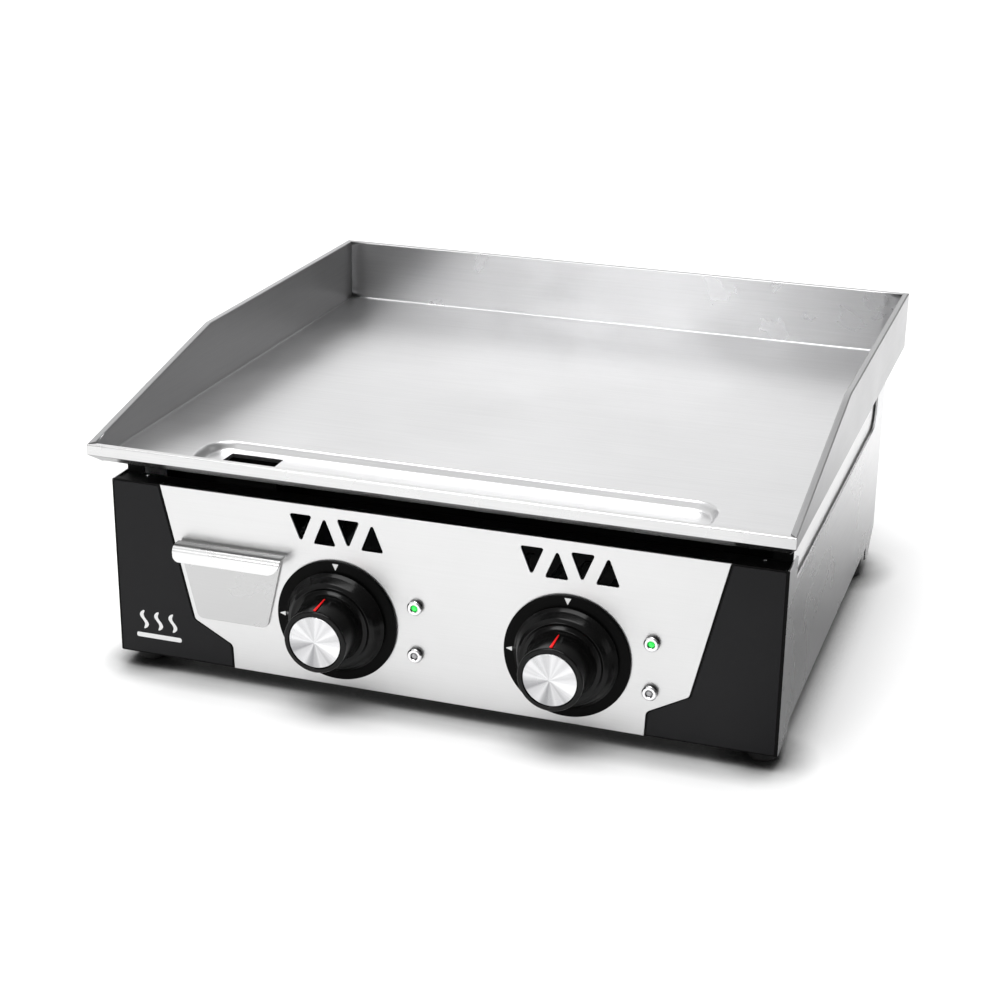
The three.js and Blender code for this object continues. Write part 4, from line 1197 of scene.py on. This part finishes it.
# ------------------------------------------------------------------ drip tray
def tray_front():
    """A ribbon of sheet: up the tapered front, over a bend and down into the rounded grip.

    The path runs in (y, z). Both edges follow the plate's taper, then ease out to the wider
    grip, and draw in along a quarter circle near either end, which rounds the corners.
    """
    low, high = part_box("drip_tray_front")
    box_low, box_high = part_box("drip_tray_box")
    middle = (box_low.x + box_high.x) / 2
    back, front = high.y - TRAY_SHEET / 2, low.y + TRAY_SHEET / 2
    top = high.z - TRAY_SHEET / 2
    grip_end = high.z - 12.5 * MM
    path = rounded([
        (back, low.z), (back, top, 2.4 * MM), (front, top, 4.4 * MM), (front, grip_end),
    ], closed=False, steps=10)
    path = densify(path)
    length = np.concatenate([[0], np.cumsum(np.hypot(*np.diff(path, axis=0).T))])
    plate = top - low.z - 4 * MM
    half = (27 + 12.6 * np.clip(length / plate, 0, 1)) * MM
    grip = np.clip((length - plate) / (6 * MM), 0, 1)
    grip = grip * grip * (3 - 2 * grip)
    from_end = length[-1] - length

    def corner(distance, radius):
        left = np.clip(radius - distance, 0, radius)
        return radius - np.sqrt(np.maximum(radius ** 2 - left ** 2, 0))

    left = (middle - half) * (1 - grip) + low.x * grip
    right = (middle + half) * (1 - grip) + high.x * grip
    left += corner(length, 4 * MM) + corner(from_end, 5 * MM)
    right -= corner(length, 4 * MM) + corner(from_end, 11 * MM)
    share = np.linspace(0, 1, 11)[None, :]
    x = left[:, None] + (right - left)[:, None] * share
    points = np.stack([x, path[:, :1] + 0 * x, path[:, 1:] + 0 * x], -1)
    item = mesh_object(
        "tray_front_sheet", points.reshape(-1, 3), grid_faces(len(path), 11), smooth=True,
    )
    wall = item.modifiers.new("thickness", "SOLIDIFY")
    wall.thickness = TRAY_SHEET
    wall.offset = 0
    wall.use_even_offset = True
    soften(item, 0.35 * MM, 2)
    piece(item, TRAY, "fascia_steel", "tray_steel", "drip_tray_front")


def densify(path):
    """Adds points so that no stretch is long, with much shorter ones near both rounded ends."""
    end, end_step, step = 9 * MM, 0.35 * MM, 3 * MM
    out = []
    total = np.hypot(*np.diff(path, axis=0).T).sum()
    done = 0.0
    for a, b in zip(path[:-1], path[1:]):
        span = float(np.hypot(*(b - a)))
        position = 0.0
        while position < span:
            out.append(a + (b - a) * position / span)
            here = done + position
            position += end_step if min(here, total - here) < end else step
        done += span
    out.append(path[-1])
    return np.array(out)


tray_front()


# ------------------------------------------------------------------ feet, gland and screws
def feet():
    """Tapered rubber feet with a rounded tread and a moulded ring groove."""
    for row in ("front", "rear"):
        for name, _ in SIDES:
            low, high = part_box(f"{row}_{name}_foot")
            r = (high.x - low.x) / 2
            groove = low.z + (high.z - low.z) * 0.5
            profile = rounded([
                (0, low.z), (r - 3 * MM, low.z, 0.5 * MM), (r - 1.4 * MM, low.z + 1.6 * MM, MM),
                (r - 0.7 * MM, groove, 0.3 * MM), (r - 1.4 * MM, groove + 0.7 * MM, 0.3 * MM),
                (r - 0.6 * MM, groove + 1.4 * MM, 0.3 * MM), (r, high.z, 0.4 * MM), (0, high.z),
            ], closed=False, steps=4)
            centre = ((low.x + high.x) / 2, (low.y + high.y) / 2, 0)
            item = turned(f"{row}_{name}_foot_pad", profile, centre, axis="Z", segments=48)
            crease(item, 50)
            piece(item, HOUSING, "foot_rubber", "foot_rubber", f"{row}_{name}_foot")


def gland():
    """A ribbed cable gland: a six-sided nut against the sheet and a tapering sleeve."""
    low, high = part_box("cable_gland")
    centre = ((low.x + high.x) / 2, 0, (low.z + high.z) / 2)
    r = (high.x - low.x) / 2
    face = low.y + 9 * MM
    sleeve = rounded([
        (5 * MM, low.y), (8.4 * MM, low.y), (8.4 * MM, face + 4 * MM),
        (11 * MM, face + 5.5 * MM, MM), (10.4 * MM, face + 12 * MM, 1.5 * MM),
        (8.4 * MM, high.y, 1.5 * MM), (5 * MM, high.y, 0.6 * MM),
    ], steps=4)
    item = turned("gland_sleeve", sleeve, centre, segments=64)
    crease(item, 50)
    piece(item, HOUSING, "black_plastic", "gland_black", "cable_gland")
    turn = np.radians(30 + 60 * np.arange(6))
    nut = [
        (centre[0] + r * math.cos(a), centre[2] + r * math.sin(a), 1.6 * MM) for a in turn
    ]
    hole = circle(centre[0], centre[2], 8.3 * MM)
    item = flat_sheet("gland_nut", [rounded(nut), hole], "XZ", face, face + 5 * MM, 0.5 * MM)
    piece(item, HOUSING, "black_plastic", "gland_black")


def screw_head(name, x, y, z, axis, r, *nodes):
    """A domed screw head, standing out along +Y for a "Y" axis or upwards for a "Z" one."""
    profile = rounded([
        (0, -1.2 * MM), (r * 0.5, -1.2 * MM), (r, 0.15 * MM, 0.2 * MM),
        (r * 0.92, 0.7 * r, 0.8 * MM), (r * 0.35, 0.62 * r, 0.3 * MM), (0, 0.30 * r),
    ], closed=False, steps=4)
    if axis == "Y":
        centre, profile = (x, 0, z), profile + np.array([0, y])
    else:
        centre, profile = (x, y, 0), profile + np.array([0, z])
    item = turned(name, profile, centre, axis=axis, segments=32)
    crease(item, 40)
    piece(item, HOUSING, "bright_trim", "bright_nickel", *nodes)


def screws():
    """Four screws hold the rear panel and one at each end holds the front frame's shelf."""
    panel_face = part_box("rear_panel")[1].y
    for i in range(1, 5):
        low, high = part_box(f"rear_screw_{i}")
        screw_head(
            f"rear_screw_head_{i}", (low.x + high.x) / 2, panel_face, (low.z + high.z) / 2, "Y",
            3.4 * MM, f"rear_screw_{i}",
        )
    shelf = FASCIA_Z[1] - 1.8 * MM     # top of the frame's shelf behind the fascia
    for name, side in SIDES:
        screw_head(
            f"{name}_shelf_screw", side * 224 * MM, fascia_low.y + 17.5 * MM, shelf, "Z", 1.3 * MM,
        )


feet()
gland()
screws()

# ------------------------------------------------------------------ CAD sheets that stay
KEPT = {
    # The base plate is black instead of zinc: a dark sheet under the body that keeps light from
    # bouncing there, painted shade for the dark strip under the front.
    "black_frame": ("front_frame", "front_cross_rail", "base_plate", "grease_chute"),
    "side_steel": ("drip_tray_box",),
    # The inner walls carry a painted highlight: near-white steel seen through the side notches.
    "wall_steel": ("left_inner_wall", "right_inner_wall"),
    "zinc_sheet": (
        "heat_shield", "front_element_clamp", "rear_element_clamp", "left_tray_rail",
        "right_tray_rail",
    ),
    "shaft_steel": ("left_knob_shaft", "right_knob_shaft"),
    "element_alloy": ("left_heating_element", "right_heating_element"),
    "ceramic": ("terminal_block", "left_thermostat", "right_thermostat"),
}
for look, names in KEPT.items():
    for node in names:
        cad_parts[node].data.materials.clear()
        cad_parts[node].data.materials.append(MATERIALS[look])

floor()
camera()
studio()
